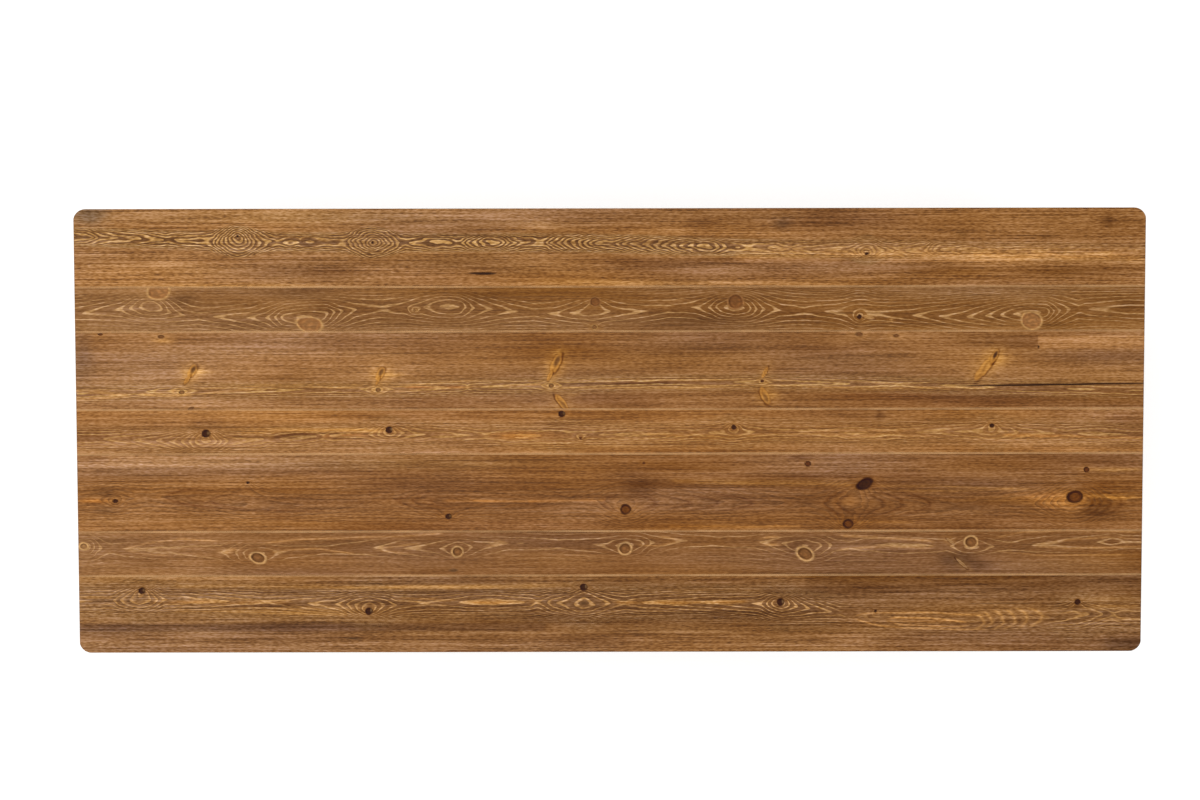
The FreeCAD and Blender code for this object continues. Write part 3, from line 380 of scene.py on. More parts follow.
stainForm = dict(
    lengths=[(72, 22), (200, 17), (350, 8), (610, 0), (870, -1), (1000, 4), (1146, 5)],  # (x, levels added), lighter towards the ends of the top, most at the left end
    streaks=[(9.0, 170, 2.6, 4), (5.0, 60, 1.3, 5), (7.5, 260, 9, 6), (4.5, 16, 1.1, 7)],  # (levels, steps, seed)
    blotches=[(9.0, 48, 16, 8), (7.0, 130, 24, 15)],
    tone=(1.0, 0.93, 0.8), base=(1.0, 4.0, 6.0),  # share of these in red, green and blue, and levels taken off
    zones=(3.0, -0.5, -7.0),  # from greyer to more golden
    lightPatch=(1.25, 1.25, 1.25), darkPatch=(1.3, 1.15, 0.95), patchWobble=0.35,  # dark patches are greyer
    veeForce=1.3,
    spikeGlow=(24, 20, 9), spikeEdge=(60, 54, 36), spikeCore=(78, 46, 27),
    glint=(140, 108, 74), glintSizes=(3, 8),  # light on the resin of an open knot, between these half lengths
    darkest=8, lightest=245,
    bareWood=(218, 173, 121), endWood=(92, 58, 32),
)


def sidesAt(v):  # the ends of the top in the picture, v of the way from the back edge to the front
    (leftBack, leftFront), (rightBack, rightFront) = topForm["left"], topForm["right"]
    return leftBack + v * (leftFront - leftBack), rightBack + v * (rightFront - rightBack)


def pictureToX(px, py):  # x on the top, straight between the ends
    v = (np.asarray(py, float) - topForm["back"]) / (topForm["front"] - topForm["back"])
    left, right = sidesAt(v)
    return topLow.x + (np.asarray(px, float) - left) / (right - left) * (topHigh.x - topLow.x)


def topToPicture(x, y):  # v = t (1 + k) / (1 + k t), with the back edge nearer by the share k
    u = (x - topLow.x) / (topHigh.x - topLow.x)
    t = (topHigh.y - y) / (topHigh.y - topLow.y)
    v = t * (1 + topForm["keystone"]) / (1 + topForm["keystone"] * t)
    left, right = sidesAt(v)
    return left + u * (right - left), topForm["back"] + v * (topForm["front"] - topForm["back"])


def smoothed(px, points, width):  # straight runs between the points, rounded by a window of this many half points
    fine = np.arange(0.0, 1220.0, 0.5)
    line = np.interp(fine, *zip(*points))
    window = np.hanning(width)
    line = np.convolve(np.pad(line, width // 2, mode="edge"), window / window.sum(), mode="valid")
    return np.interp(px, fine, line)


def heartLevel(px, tips, centre, width):  # ring count along the heart line: one up at each tip, one down at each minus
    points = []
    level = 0.0
    for before, tip in zip([0] + tips, tips):
        if before * tip > 0:
            level += math.copysign(1, tip)
        elif before:
            points.append(((abs(tip) + abs(before)) / 2, level - math.copysign(centre, tip)))
        points.append((abs(tip), level))
    return smoothed(px, points, width)


def turned(px, py, cx, cy, halfLong, halfWide, turn):  # place in a turned ellipse, 1 on its rim
    angle = math.radians(turn)
    along = (px - cx) * math.cos(angle) + (py - cy) * math.sin(angle)
    across = -(px - cx) * math.sin(angle) + (py - cy) * math.cos(angle)
    return along / halfLong, across / halfWide


def tinted(weight, levels):  # weight * levels, for each of red, green and blue
    return weight[..., None] * np.array(levels, float)


def painted(under, amount, levels):  # under * (1 - amount) + levels * amount
    return under * (1 - amount[..., None]) + np.array(levels, float) * amount[..., None]


# sink: depth of the recess in metres; core, line, rim: colours from the middle out; halo: levels added round it;
# pull: rings that it draws round itself, at least out points away; rimFrom: share of the radius where the rim starts;
# wide: points along x, beside its own length, over which the grain rounds off
knotWords = ("sink", "core", "line", "rim", "halo", "pull", "out", "rimFrom", "wide")
knotRows = {
    "pin": (0.0005, (56, 30, 18), (60, 33, 20), (86, 52, 30), (0, 0, 0), 2.0, 7.0, 0.78, 8),
    "eye": (0.0005, (56, 30, 18), (60, 33, 20), (86, 52, 30), (0, 0, 0), 2.2, 7.0, 0.78, 17),
    "black": (0.0009, (66, 36, 9), (44, 20, 4), (72, 38, 11), (8, 4, -2), 1.8, 6.0, 0.78, 8),
    "dark": (0.0004, (112, 63, 26), (58, 28, 7), (64, 33, 9), (14, 9, 1), 2.4, 6.0, 0.78, 8),
    "red": (0.0003, (104, 56, 27), (56, 28, 13), (66, 36, 17), (10, 6, -1), 1.2, 4.0, 0.78, 8),
    "faint": (0.0, (124, 78, 41), (96, 59, 31), (168, 120, 70), (16, 13, 7), 1.2, 4.0, 0.78, 8),
    "brown": (0.0002, (134, 84, 42), (96, 57, 27), (160, 110, 62), (4, 3, 1), 1.5, 6.0, 0.78, 8),
    "tan": (0.0, (163, 111, 63), (138, 91, 50), (204, 154, 94), (4, 3, 1), 1.3, 6.0, 0.78, 8),
    "pale": (0.0002, (138, 90, 48), (90, 55, 26), (199, 152, 97), (-6, -6, -5), 1.0, 6.0, 0.68, 8),
    "loop": (0.0, (172, 124, 76), (122, 82, 47), (208, 160, 102), (0, 0, 0), 1.6, 6.0, 0.6, 8),
    "ring": (0.0002, (138, 92, 50), (94, 60, 32), (198, 150, 86), (16, 12, 4), 1.4, 4.0, 0.78, 8),
    "pitch": (0.0012, (60, 35, 20), (66, 40, 23), (88, 56, 32), (0, 0, 0), 0.0, 1.0, 0.78, 8),
    "dust": (0.0, (104, 70, 40), (108, 73, 42), (118, 80, 48), (0, 0, 0), 0.0, 1.0, 0.78, 8),
}
knotLooks = {kind: dict(zip(knotWords, row)) for kind, row in knotRows.items()}


def boardFields(x, y, depth, figure, seed):
    # rings = heart level + out / near * (1 + (out / reach)^2) - knot pulls, as a count of growth rings, where
    # out = sqrt(spread^2 + rounding^2) - rounding and spread is the distance from the heart line
    px, py = topToPicture(x, y)

    def noise(stepX, stepY, number):
        return softNoise(px, py, stepX, stepY, seed + number)

    def noises(rows):
        return sum(levels * noise(*rest) for levels, *rest in rows)

    def mixed(make, windows):  # smoothed less near the heart line and more far from it
        return make(windows[0]) * (1 - far) + make(windows[1]) * far

    def heartLine(window):
        return smoothed(px, figure["heart"], window)

    def ringLevel(window):
        return heartLevel(px + ringForm["waver"] * noise(20, 5, 1), figure["tips"], figure["centre"], window)

    fromHeart = np.abs(py - heartLine(ringForm["heartWindows"][0]))
    far = ease((fromHeart - ringForm["straightFrom"]) / ringForm["straightOver"])
    reach = figure["reach"]
    rounding = ringForm["tipRound"]
    for cx, _, halfLong, *_, kind in figure["knots"]:
        look = knotLooks[kind]
        if look["pull"] > 2:  # the rings stay bent beside the large knots
            beside = bell((px - cx) / ringForm["besideKnot"])
            far = far * (1 - ringForm["bentShare"] * beside)
            reach = reach + ringForm["moreReach"] * beside
        if look["pull"] > 1.5:  # the grain rounds off beside a knot
            rounding = rounding + figure["soften"] * bell((px - cx) / (2.4 * halfLong + look["wide"]))
    spread = py - mixed(heartLine, ringForm["heartWindows"]) + ringForm["sway"] * noise(90, 30, 0)
    out = np.sqrt(spread**2 + rounding**2) - rounding
    rings = mixed(ringLevel, ringForm["levelWindows"]) + out / figure["near"] * (1 + (out / reach) ** 2)
    rings += ringForm["drift"] * noise(60, 9, 2) + figure["rough"] * noise(9, 3, 3)

    # the wood's colour, lighter and darker along the top and lightest at the left end, with streaks, blotches and
    # greyer or more golden zones
    lighter = np.interp(px, *zip(*stainForm["lengths"])) + figure["streaks"] * noises(stainForm["streaks"])
    stain = np.array(figure["stain"], float) - stainForm["base"]
    stain = stain + tinted(lighter + noises(stainForm["blotches"]), stainForm["tone"])
    stain += tinted(noise(140, 18, 16), stainForm["zones"])
    for left, top, right, bottom, *levels in figure["blocks"]:
        inside = ease(px - left + 0.5) * ease(right - px + 0.5) * ease(py - top + 0.5) * ease(bottom - py + 0.5)
        stain += tinted(inside, levels)
    for top, bottom, *levels in figure["strips"]:
        stain += tinted(ease((py - top) / 1.2 + 0.5) * ease((bottom - py) / 1.2 + 0.5), levels)
    for cx, cy, halfLong, halfWide, *levels in figure["patches"]:
        wobble = stainForm["patchWobble"] * noise(halfLong * 0.4 + 3, halfWide * 0.5 + 0.8, 9)
        u, v = turned(px, py, cx, cy, halfLong, halfWide, 0)
        weight = np.exp(-((u * u + v * v) * (1 + wobble)) ** 1.2)
        grey = stainForm["darkPatch" if levels[0] < 0 else "lightPatch"]
        stain += tinted(weight, np.array(levels) * grey)
    for points, halfWide, levels in figure["threads"]:
        lineY = smoothed(px, points, 31) + 0.5 * noise(30, 40, 17)
        ends = ease((px - points[0][0]) / 10) * ease((points[-1][0] - px) / 10)
        weight = np.exp(-np.abs((py - lineY) / halfWide) ** 2.4) * ends * (0.85 + 0.3 * noise(14, 3, 18))
        stain += tinted(figure["thread"] * weight, levels)
    for tipX, tipY, way, length, height, levels in figure["vees"]:  # x = tip - way * length * t^2
        t = np.abs(py - tipY) / height
        away = px - tipX + way * length * t**2 + 1.2 * noise(12, 4, 19)
        weight = bell(away / (1.5 + 0.12 * length * t)) * ease((1.08 - t) / 0.3)
        stain += tinted(stainForm["veeForce"] * weight, levels)

    half, fade, outside = figure["band"]
    inBand = ease((half + 2.4 * (rounding - ringForm["tipRound"]) + fade - np.abs(spread)) / fade)
    loose = np.clip(0.75 + 1.1 * noise(110, 9, 12), 0.1, 1.5)
    force = (inBand + (1 - inBand) * outside * loose) * np.interp(px, *zip(*figure["along"]))
    duty = figure["duty"] * (0.85 + figure["arrow"] * bell(spread / 3.0))

    calm = np.ones(px.shape)  # 0 where no ring lines are drawn
    for *place, darkness in figure["spikes"]:  # golden cut of a branch, dark at one end
        u, v = turned(px, py, *place)
        away = np.sqrt(u * u + v * v) * (1 + 0.10 * noise(4, 3, 13))
        inside = ease((1.12 - away) / 0.3)
        outline = bell((away - 1.05) / 0.20) * (0.35 + 0.65 * ease(v + 0.4))
        core = bell(((u - 0.25) / 0.55) ** 2 + (v / 0.55) ** 2)
        vein = bell((v + 0.25 * np.sin(5 * u)) / 0.26) * ease((0.9 - away) / 0.3)
        stain += tinted(bell(u / 1.5) * bell(v / 2.6), stainForm["spikeGlow"])
        stain = painted(stain, 0.8 * inside, figure["spikeGold"])
        stain -= tinted(1.05 * outline + 0.45 * vein, stainForm["spikeEdge"])
        stain = painted(stain, core * darkness, stainForm["spikeCore"])
        calm *= 1 - 0.8 * inside
    for *place, kind in figure["knots"]:
        look = knotLooks[kind]
        halfLong, halfWide = place[2:4]
        u, v = turned(px, py, *place)
        away = np.sqrt(u * u + v * v) * (1 + 0.10 * noise(0.7 * halfLong + 1.5, 0.7 * halfWide + 1.5, 10))
        farLong, farWide = max(2.4 * halfLong, look["out"]), max(2.0 * halfWide, look["out"])
        rings -= look["pull"] * bell(u * halfLong / farLong) * bell(v * halfWide / farWide)
        stain += tinted(bell(u / 2.8) * bell(v / 1.7), look["halo"])
        inside = ease((1.14 - away) / 0.24)
        inner = ease((away - look["rimFrom"] + 0.26) / 0.16)
        inner = inner * (0.35 + 0.65 * ease(0.62 - 0.4 * (u + v)))  # darker on the upper left
        core = painted(np.array(look["core"], float), inner, look["line"])
        core = painted(core, ease((away - look["rimFrom"]) / 0.14), look["rim"])
        turns = 1 + 0.10 * np.cos(away * 9.0 + 2 * noise(3, 2, 11))
        stain = painted(stain, inside, core * turns[..., None])
        # painted highlight: the glint of light on the resin of an open knot, painted into the stain colour
        if kind == "black" and stainForm["glintSizes"][0] < halfLong < stainForm["glintSizes"][1]:
            glint = 0.8 * np.exp(-((((u - 0.55) / 0.24) ** 2 + ((v + 0.15) / 0.50) ** 2) ** 1.5))
            stain = painted(stain, glint, stainForm["glint"])
        calm *= 1 - inside
    onSide = (depth > topForm["rimDepth"]) & (depth < topForm["footDepth"])
    rings = np.where(onSide, depth / ringForm["sideRing"] + 1.1 * noise(140, 40, 14), rings)
    return rings, np.clip(stain, stainForm["darkest"], stainForm["lightest"]), force * calm, duty, calm


def inset(distance, radius):  # r - sqrt(r^2 - (r - d)^2), the way in of a round corner at a distance d from its end
    d = np.clip(distance, 0, radius)
    return radius - np.sqrt(np.maximum(radius**2 - (radius - d) ** 2, 0))


def boardStations(low, high, figure):  # x of the sections, closer at knots, spikes and fine lengths and in the corners
    stations = [np.arange(low.x, high.x, topForm["coarseStep"])]
    for cx, cy, halfLong, *_ in figure["knots"] + figure["spikes"]:
        place = pictureToX(cx, cy)
        half = min(halfLong * topForm["point"] * 1.4, 0.03)
        stations.append(np.arange(place - half, place + half, topForm["fineStep"]))
    for first, last, py in figure["fine"]:
        stations.append(np.arange(pictureToX(first, py), pictureToX(last, py), topForm["fineStep"]))
    turn = np.linspace(0, math.pi / 2, topForm["cornerTurns"])
    for size in (topForm["cornerRadius"], topForm["edgeRound"]):
        stations += [low.x + size * (1 - np.cos(turn)), high.x - size * (1 - np.cos(turn))]
    stations = np.unique(np.round(np.concatenate(stations), 4))
    within = (stations > low.x + topForm["leastStep"]) & (stations < high.x - topForm["leastStep"])
    return np.concatenate([[low.x], stations[within], [high.x]])


def boardForm(name, figure):
    # section of the board carried along x: the outer edge follows the round corner, and the rim is rounded so in z
    low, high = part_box(name)
    outerBack = name == "board_1"
    outerFront = name == "board_7"
    roundOff, bevel = topForm["edgeRound"], topForm["seamBevel"]
    thick = high.z - low.z
    stations = boardStations(low, high, figure)
    fromEnd = np.minimum(stations - low.x, high.x - stations)
    corner = inset(fromEnd, topForm["cornerRadius"])
    backY = high.y - corner * outerBack
    frontY = low.y + corner * outerFront
    lift = inset(fromEnd, roundOff)

    def edge(outer):  # (in from the edge, down from the face), from the underside up to the face
        if outer:
            bend = np.linspace(0, math.pi / 2, topForm["rimTurns"])
            lower = [(roundOff * (1 - math.sin(a)), thick - roundOff * (1 - math.cos(a))) for a in bend]
            upper = [(roundOff * (1 - math.cos(a)), roundOff * (1 - math.sin(a))) for a in bend]
            return lower + [(0.0, thick * 0.5)] + upper
        downs = (thick, thick - topForm["guard"], thick * 0.5, bevel + topForm["guard"], bevel)
        return [(0.0, deep) for deep in downs] + [(bevel, 0.0)]

    back = np.array(edge(outerBack))
    front = np.array(edge(outerFront))[::-1]
    share = np.linspace(0, 1, int((high.y - low.y) / topForm["rowStep"]) + 1)[1:-1]
    underShare = np.linspace(1, 0, topForm["underRows"])[1:-1]
    y = np.concatenate([
        backY[:, None] - back[None, :, 0],
        (backY - back[-1, 0])[:, None] * (1 - share) + (frontY + front[0, 0])[:, None] * share,
        frontY[:, None] + front[None, :, 0],
        (backY - back[0, 0])[:, None] * (1 - underShare) + (frontY + front[-1, 0])[:, None] * underShare,
    ], axis=1)
    down = np.concatenate([back[:, 1], 0 * share, front[:, 1], 0 * underShare + thick])
    z = high.z - np.broadcast_to(down, y.shape)
    z = np.clip(z, (low.z + lift)[:, None], (high.z - lift)[:, None])
    x = np.broadcast_to(stations[:, None], y.shape)
    count, around = y.shape
    index = np.arange(count * around).reshape(count, around)
    nextIndex = np.roll(index, -1, axis=1)
    quads = np.stack([index[:-1], index[1:], nextIndex[1:], nextIndex[:-1]], axis=-1).reshape(-1, 4)

    # end caps: straight lines from the face row down to the underside row
    faceFirst = len(back) - 1
    faceLast = len(back) + len(share)
    columns = np.linspace(0, 1, topForm["capColumns"])
    rows = np.linspace(0, 1, topForm["capRows"])
    points = [np.stack([x, y, z], axis=-1).reshape(-1, 3)]
    start = count * around
    for end in (0, count - 1):
        capY = y[end, faceFirst] + (y[end, faceLast] - y[end, faceFirst]) * columns
        capY = np.concatenate([[y[end].max()], capY[1:-1], [y[end].min()]])
        zTop, zLow = z[end, faceFirst:faceLast].max(), z[end].min()
        grid = np.empty((len(rows), len(columns), 3))
        grid[..., 0] = stations[end]
        grid[..., 1] = capY[None, :]
        grid[..., 2] = zTop + (zLow - zTop) * rows[:, None]
        points.append(grid.reshape(-1, 3))
        cap = start + np.arange(grid.size // 3).reshape(len(rows), len(columns))
        faces = np.stack([cap[:-1, :-1], cap[1:, :-1], cap[1:, 1:], cap[:-1, 1:]], axis=-1).reshape(-1, 4)
        quads = np.concatenate([quads, faces if end else faces[:, ::-1]])
        start += cap.size
    points = np.concatenate(points)

    # open knots, the pitch pocket and the crack lie lower than the face, by sink * exp(-(u^2 + v^2)^2)
    px, py = topToPicture(points[:, 0], points[:, 1])
    onFace = points[:, 2] > high.z - 0.00001
    for *place, kind in figure["knots"]:
        u, v = turned(px, py, *place)
        points[:, 2] -= onFace * knotLooks[kind]["sink"] * bell(u * u + v * v)

    # bare wood along the arrises of the seams, darker end grain
    seam = np.full(len(points), 1.0)
    if not outerBack:
        seam = np.minimum(seam, np.interp(points[:, 0], stations, backY) - points[:, 1])
    if not outerFront:
        seam = np.minimum(seam, points[:, 1] - np.interp(points[:, 0], stations, frontY))
    bare = ease((topForm["bareWidth"] - seam) / topForm["bareFade"]) * (points[:, 2] > high.z - roundOff)
    endGrain = np.zeros(len(points))
    endGrain[count * around:] = 1.0
    return points, quads, bare, endGrain


def placed(name, data, place=(0, 0, 0), turn=(0, 0, 0)):  # place in metres, turn in degrees
    item = bpy.data.objects.new(name, data)
    item.location = place
    item.rotation_euler = [math.radians(angle) for angle in turn]
    bpy.context.scene.collection.objects.link(item)
    return item


def gridMesh(name, points, quads, layers):
    mesh = bpy.data.meshes.new(name)
    mesh.vertices.add(len(points))
    mesh.vertices.foreach_set("co", points.astype(np.float32).ravel())
    mesh.loops.add(quads.size)
    mesh.loops.foreach_set("vertex_index", quads.astype(np.int32).ravel())
    mesh.polygons.add(len(quads))
    mesh.polygons.foreach_set("loop_start", np.arange(0, quads.size, 4, dtype=np.int32))
    mesh.update(calc_edges=True)
    mesh.validate()
    for layer, values in layers.items():
        kind, field = ("FLOAT", "value") if values.ndim == 1 else ("FLOAT_COLOR", "color")
        attribute = mesh.attributes.new(layer, kind, "POINT")
        attribute.data.foreach_set(field, values.astype(np.float32).ravel())
    mesh.polygons.foreach_set("use_smooth", np.ones(len(mesh.polygons), bool))
    return placed(name, mesh)


class NodeBench:  # short names for building a material's nodes
    def __init__(self, name):
        self.material = bpy.data.materials.new(name)
        self.material.use_nodes = True
        self.tree = self.material.node_tree
        self.shader = self.tree.nodes["Principled BSDF"]

    def link(self, source, socket):
        if isinstance(source, (int, float, tuple)):
            socket.default_value = source
        else:
            self.tree.links.new(source, socket)

    def node(self, kind, output, inputs, **settings):
        made = self.tree.nodes.new("ShaderNode" + kind)
        for setting, value in settings.items():
            setattr(made, setting, value)
        for socket, source in inputs.items():
            self.link(source, made.inputs[socket])
        return made.outputs[output]

    def math(self, operation, first, second=0.0, clamp=False):
        return self.node("Math", 0, {0: first, 1: second}, operation=operation, use_clamp=clamp)

    def times(self, first, second):
        return self.math("MULTIPLY", first, second)

    def layer(self, name, output="Fac"):
        return self.node("Attribute", output, {}, attribute_name=name)

    def noise(self, stretch, detail, rough=0.55, shift=(0, 0, 0), scale=1.0):
        coordinate = self.node("TexCoord", "Object", {})
        place = self.node("Mapping", "Vector", {"Vector": coordinate, "Scale": stretch, "Location": shift})
        return self.node("TexNoise", "Fac", {"Vector": place, "Scale": scale, "Detail": detail, "Roughness": rough})

    def span(self, value, fromLow, fromHigh, toLow=0.0, toHigh=1.0, way="SMOOTHSTEP"):
        inputs = {"Value": value, "From Min": fromLow, "From Max": fromHigh, "To Min": toLow, "To Max": toHigh}
        return self.node("MapRange", "Result", inputs, interpolation_type=way)

    def blend(self, amount, first, second, way="MIX"):
        return self.node("Mix", 2, {0: amount, 6: first, 7: second}, data_type="RGBA", blend_type=way)

    def bump(self, height, strength, distance):
        normal = self.node("Bump", "Normal", {"Strength": strength, "Distance": distance, "Height": height})
        self.link(normal, self.shader.inputs["Normal"])

    def set(self, **values):
        for name, value in values.items():
            self.link(value, self.shader.inputs[name.replace("_", " ")])
        return self.material


def boardFinish(name, figure):  # stain from the board's own layers, pale or dark ring lines, brushed grain
    bench = NodeBench(name + "_finish")
    force = bench.layer("force")
    ringPart = bench.math("FRACT", bench.layer("rings"))
    rise = bench.math("ADD", bench.math("SUBTRACT", ringPart, 0.95), bench.layer("duty"))
    rise = bench.math("MULTIPLY", rise, 8.0, True)
    broken = bench.span(bench.noise((9, 120, 120), 2.0), 0.30, 0.60, figure["patchy"], 1.0)
    line = bench.times(bench.times(rise, bench.span(ringPart, 0.93, 1.0, 1.0, 0.0)), bench.times(broken, force))
    fibre = bench.noise((5, 380, 380), 1.0, 0.5)
    pore = bench.noise((90, 480, 480), 1.0, 0.5)
    colour = bench.layer("stain", "Color")
    dusk = linear(*figure["dusk"])
    if figure["lineForce"] > 0:
        shade = bench.times(bench.span(ringPart, 0.0, 0.7, 1.0, 0.4), force)
        colour = bench.blend(bench.times(shade, figure["dark"]), colour, dusk)
        colour = bench.blend(bench.times(line, figure["lineForce"] * 0.94), colour, linear(*figure["gold"]))
    else:
        broad = bench.times(bench.math("POWER", ringPart, 1.6), bench.span(ringPart, 0.90, 1.0, 1.0, 0.0))
        broad = bench.times(broad, bench.times(broken, force))
        colour = bench.blend(bench.times(broad, -figure["lineForce"]), colour, dusk)
    grain = bench.span(bench.math("ADD", fibre, pore), 0.70, 1.30, 0.20, 1.80, "LINEAR")
    falls = {"X": 1.0, "Y": 1.35, "Z": 2.3}  # dark grain is redder: green and blue fall faster
    tone = bench.node("CombineXYZ", 0, {axis: bench.math("POWER", grain, power) for axis, power in falls.items()})
    soft = bench.times(bench.math("ADD", bench.times(bench.layer("plain"), 0.6), 0.4), figure["grain"])
    colour = bench.blend(soft, colour, tone, "MULTIPLY")
    worn = bench.span(bench.noise((7, 40, 40), 3.0, 0.7), 0.30, 0.65, 0.35, 0.85)
    colour = bench.blend(bench.times(bench.layer("bare"), worn), colour, linear(*stainForm["bareWood"]))
    colour = bench.blend(bench.times(bench.layer("endGrain"), 0.45), colour, linear(*stainForm["endWood"]))
    height = bench.math("ADD", bench.times(fibre, 0.6), bench.times(line, 0.5))
    height = bench.math("SUBTRACT", height, bench.span(pore, 0.52, 0.74, 0.0, 0.5))
    bench.bump(height, 0.35, 0.0008)
    return bench.set(Base_Color=colour, Roughness=bench.span(fibre, 0.25, 0.75, 0.54, 0.70), Specular_IOR_Level=0.12)


for number, (name, figure) in enumerate(boardFigures.items(), 1):
    figure = {**plainFigure, **figure}
    points, quads, bare, endGrain = boardForm(name, figure)
    depth = np.clip(topHigh.z - points[:, 2], 0, 1)
    rings, stain, force, duty, calm = boardFields(points[:, 0], points[:, 1], depth, figure, 100 * number)
    force = np.where(depth > topForm["rimDepth"], 0.5 * calm, force * (depth < topForm["faceDepth"]))
    # the stain layer holds the wood's colour and also the painted highlight of the glints on open knots
    stain = np.maximum(toLinear(stain) - topForm["sheen"], topForm["blackest"])
    layers = dict(
        rings=rings, force=force, duty=duty, plain=calm, bare=bare, endGrain=endGrain,
        stain=np.concatenate([stain, np.ones((len(points), 1))], axis=1),
    )
    board = gridMesh(name + "_wood", points, quads, layers)
    board.data.materials.append(boardFinish(name, figure))
    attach(board, "top")
    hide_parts(name)
    print(name, "laid:", len(quads), "faces")


def frameWood(name, along, stain, gold, dusk, seed):
    # rings = 15 sway + 5 slow, with sway a noise that is stretched along the piece and slow an even one
    bench = NodeBench(name)
    stretch = {"x": (1, 14, 14), "y": (14, 1, 14), "z": (14, 14, 1)}[along]
    fine = {"x": (10, 300, 300), "y": (300, 10, 300), "z": (300, 300, 10)}[along]
    shift = (seed * 0.37, seed * 0.53, seed * 0.29)
    sway = bench.noise(stretch, 2.0, 0.5, shift, 1.3)
    slow = bench.noise((2.2, 2.2, 2.2), 2.0, 0.5, shift)
    ringPart = bench.math("FRACT", bench.math("ADD", bench.times(sway, 15.0), bench.times(slow, 5.0)))
    line = bench.times(bench.span(ringPart, 0.45, 0.84), bench.span(ringPart, 0.93, 1.0, 1.0, 0.0))
    fibre = bench.noise(fine, 4.0, 0.62, shift)
    colour = bench.blend(bench.span(slow, 0.32, 0.68), linear(*dusk), linear(*stain))
    colour = bench.blend(bench.times(line, 0.55), colour, linear(*gold))
    colour = bench.blend(bench.span(fibre, 0.50, 0.72, 0.0, 0.40), colour, linear(74, 44, 23))
    height = bench.math("SUBTRACT", bench.times(line, 0.5), bench.span(fibre, 0.45, 0.75, 0.0, 0.9))
    bench.bump(height, 0.3, 0.0008)
    return bench.set(Base_Color=colour, Roughness=bench.span(fibre, 0.3, 0.7, 0.50, 0.68), Specular_IOR_Level=0.32)


def steelFinish():  # zinc plate: cloudy grey with fine scuffs
    bench = NodeBench("zinc_finish")
    scuff = bench.noise((900, 240, 900), 2.0, 0.5)
    colour = bench.blend(bench.noise((60, 60, 60), 4.0, 0.6), linear(150, 152, 152), linear(205, 204, 198))
    bench.bump(scuff, 0.12, 0.0003)
    return bench.set(Base_Color=colour, Metallic=1.0, Roughness=bench.span(scuff, 0.3, 0.7, 0.28, 0.44))


def coatFinish():  # black powder coat: fine orange peel, worn a little
    bench = NodeBench("powder_coat")
    worn = bench.noise((26, 26, 26), 5.0, 0.65)
    colour = bench.blend(bench.span(worn, 0.35, 0.75), linear(30, 30, 31), linear(52, 51, 50))
    bench.bump(bench.noise((1400, 1400, 1400), 2.0, 0.5), 0.25, 0.0003)
    return bench.set(Base_Color=colour, Roughness=bench.span(worn, 0.3, 0.7, 0.42, 0.58), Specular_IOR_Level=0.45)


def glideFinish():  # moulded nylon, scuffed by the floor
    bench = NodeBench("glide_nylon")
    scuff = bench.noise((140, 140, 500), 4.0, 0.65)
    colour = bench.blend(bench.span(scuff, 0.45, 0.75), linear(46, 43, 40), linear(84, 79, 73))
    bench.bump(scuff, 0.15, 0.0004)
    return bench.set(Base_Color=colour, Roughness=bench.span(scuff, 0.3, 0.7, 0.45, 0.65))


legWood = frameWood("leg_finish", "z", (152, 103, 56), (194, 143, 82), (118, 76, 38), 1)
skirtWood = frameWood("skirt_finish", "x", (150, 101, 54), (192, 141, 80), (116, 74, 37), 2)
crossWood = frameWood("cross_finish", "y", (154, 106, 58), (194, 144, 84), (120, 78, 40), 3)
pieceFinishes = [  # how the names start, the first that fits
    (("leg_rail", "stretcher", "cross_rail", "batten_l", "batten_r", "apron_left", "apron_right"), crossWood),
    (("leg_",), legWood),
    (("apron", "glue"), skirtWood),
    (("upper_link", "lower_link", "stay_bracket"), coatFinish()),
    (("floor_glides",), glideFinish()),
    (("",), steelFinish()),
]
for name, piece in nodes.items():
    if not name.startswith("board_"):
        piece.data.materials.clear()
        piece.data.materials.append(next(finish for starts, finish in pieceFinishes if name.startswith(starts)))
print("frame and fittings finished")

room = dict(
    floorSize=60.0, floorGlow=0.5, worldStrength=0.50,
    lampPower=165.0, lampSize=5.0, lampPlace=(-0.9, 0.4, 6.0), lampTurn=(0, -8, 0),
    lens=50.0, sensor=36.0, cameraPlace=(-0.02512, 0.23927, 4.56153), cameraTurn=(-2.52161, -0.03869, -0.09588),
)


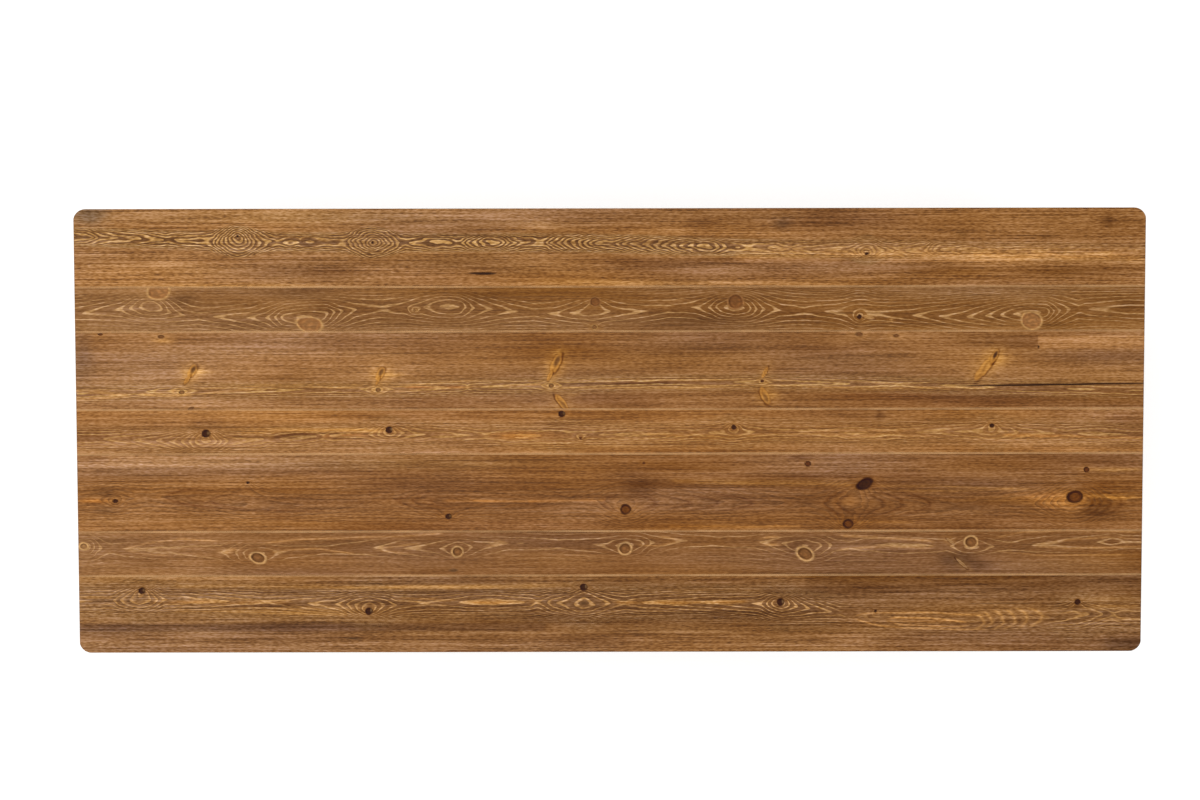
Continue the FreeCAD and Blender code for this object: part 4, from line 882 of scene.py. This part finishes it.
def makeFloor():
    size = room["floorSize"]
    mesh = bpy.data.meshes.new("floor")
    mesh.from_pydata([(-size, -size, 0), (size, -size, 0), (size, size, 0), (-size, size, 0)], [], [(0, 1, 2, 3)])
    bench = NodeBench("floor_white")
    bench.set(Base_Color=linear(240, 240, 239), Roughness=0.9, Specular_IOR_Level=0.1)
    path = bench.tree.nodes.new("ShaderNodeLightPath").outputs
    seen = bench.math("MAXIMUM", path["Is Camera Ray"], path["Is Glossy Ray"])
    seen = bench.math("MAXIMUM", seen, path["Is Transmission Ray"])
    glow = bench.node("Emission", 0, {"Color": (1, 1, 1, 1), "Strength": bench.times(seen, room["floorGlow"])})
    above = bench.node("AddShader", 0, {0: bench.shader.outputs[0], 1: glow})
    below = bench.node("BsdfTransparent", 0, {})  # open from below, so the underside can be looked at
    side = bench.node("NewGeometry", "Backfacing", {})
    both = bench.node("MixShader", 0, {0: side, 1: above, 2: below})
    bench.link(both, bench.tree.nodes["Material Output"].inputs["Surface"])
    mesh.materials.append(bench.material)
    placed("floor", mesh)


def makeLight():  # white where the camera looks past the floor, weaker as light on the table
    world = bpy.data.worlds.new("studio")
    bpy.context.scene.world = world
    world.use_nodes = True
    tree = world.node_tree
    sky = tree.nodes["Background"]
    sky.inputs["Color"].default_value = (1.0, 1.0, 1.0, 1.0)
    path = tree.nodes.new("ShaderNodeLightPath")
    strength = tree.nodes.new("ShaderNodeMapRange")
    strength.inputs["To Min"].default_value = room["worldStrength"]
    strength.inputs["To Max"].default_value = 1.0
    tree.links.new(path.outputs["Is Camera Ray"], strength.inputs["Value"])
    tree.links.new(strength.outputs["Result"], sky.inputs["Strength"])
    lamp = bpy.data.lights.new("softbox", "AREA")
    lamp.energy = room["lampPower"]
    lamp.size = room["lampSize"]
    placed("softbox", lamp, room["lampPlace"], room["lampTurn"])


def makeCamera():
    lens = bpy.data.cameras.new("camera")
    lens.lens = room["lens"]
    lens.sensor_width = room["sensor"]
    bpy.context.scene.camera = placed("camera", lens, room["cameraPlace"], room["cameraTurn"])


makeFloor()
makeLight()
makeCamera()
bpy.context.scene.view_settings.view_transform = "Standard"
print("room lit")
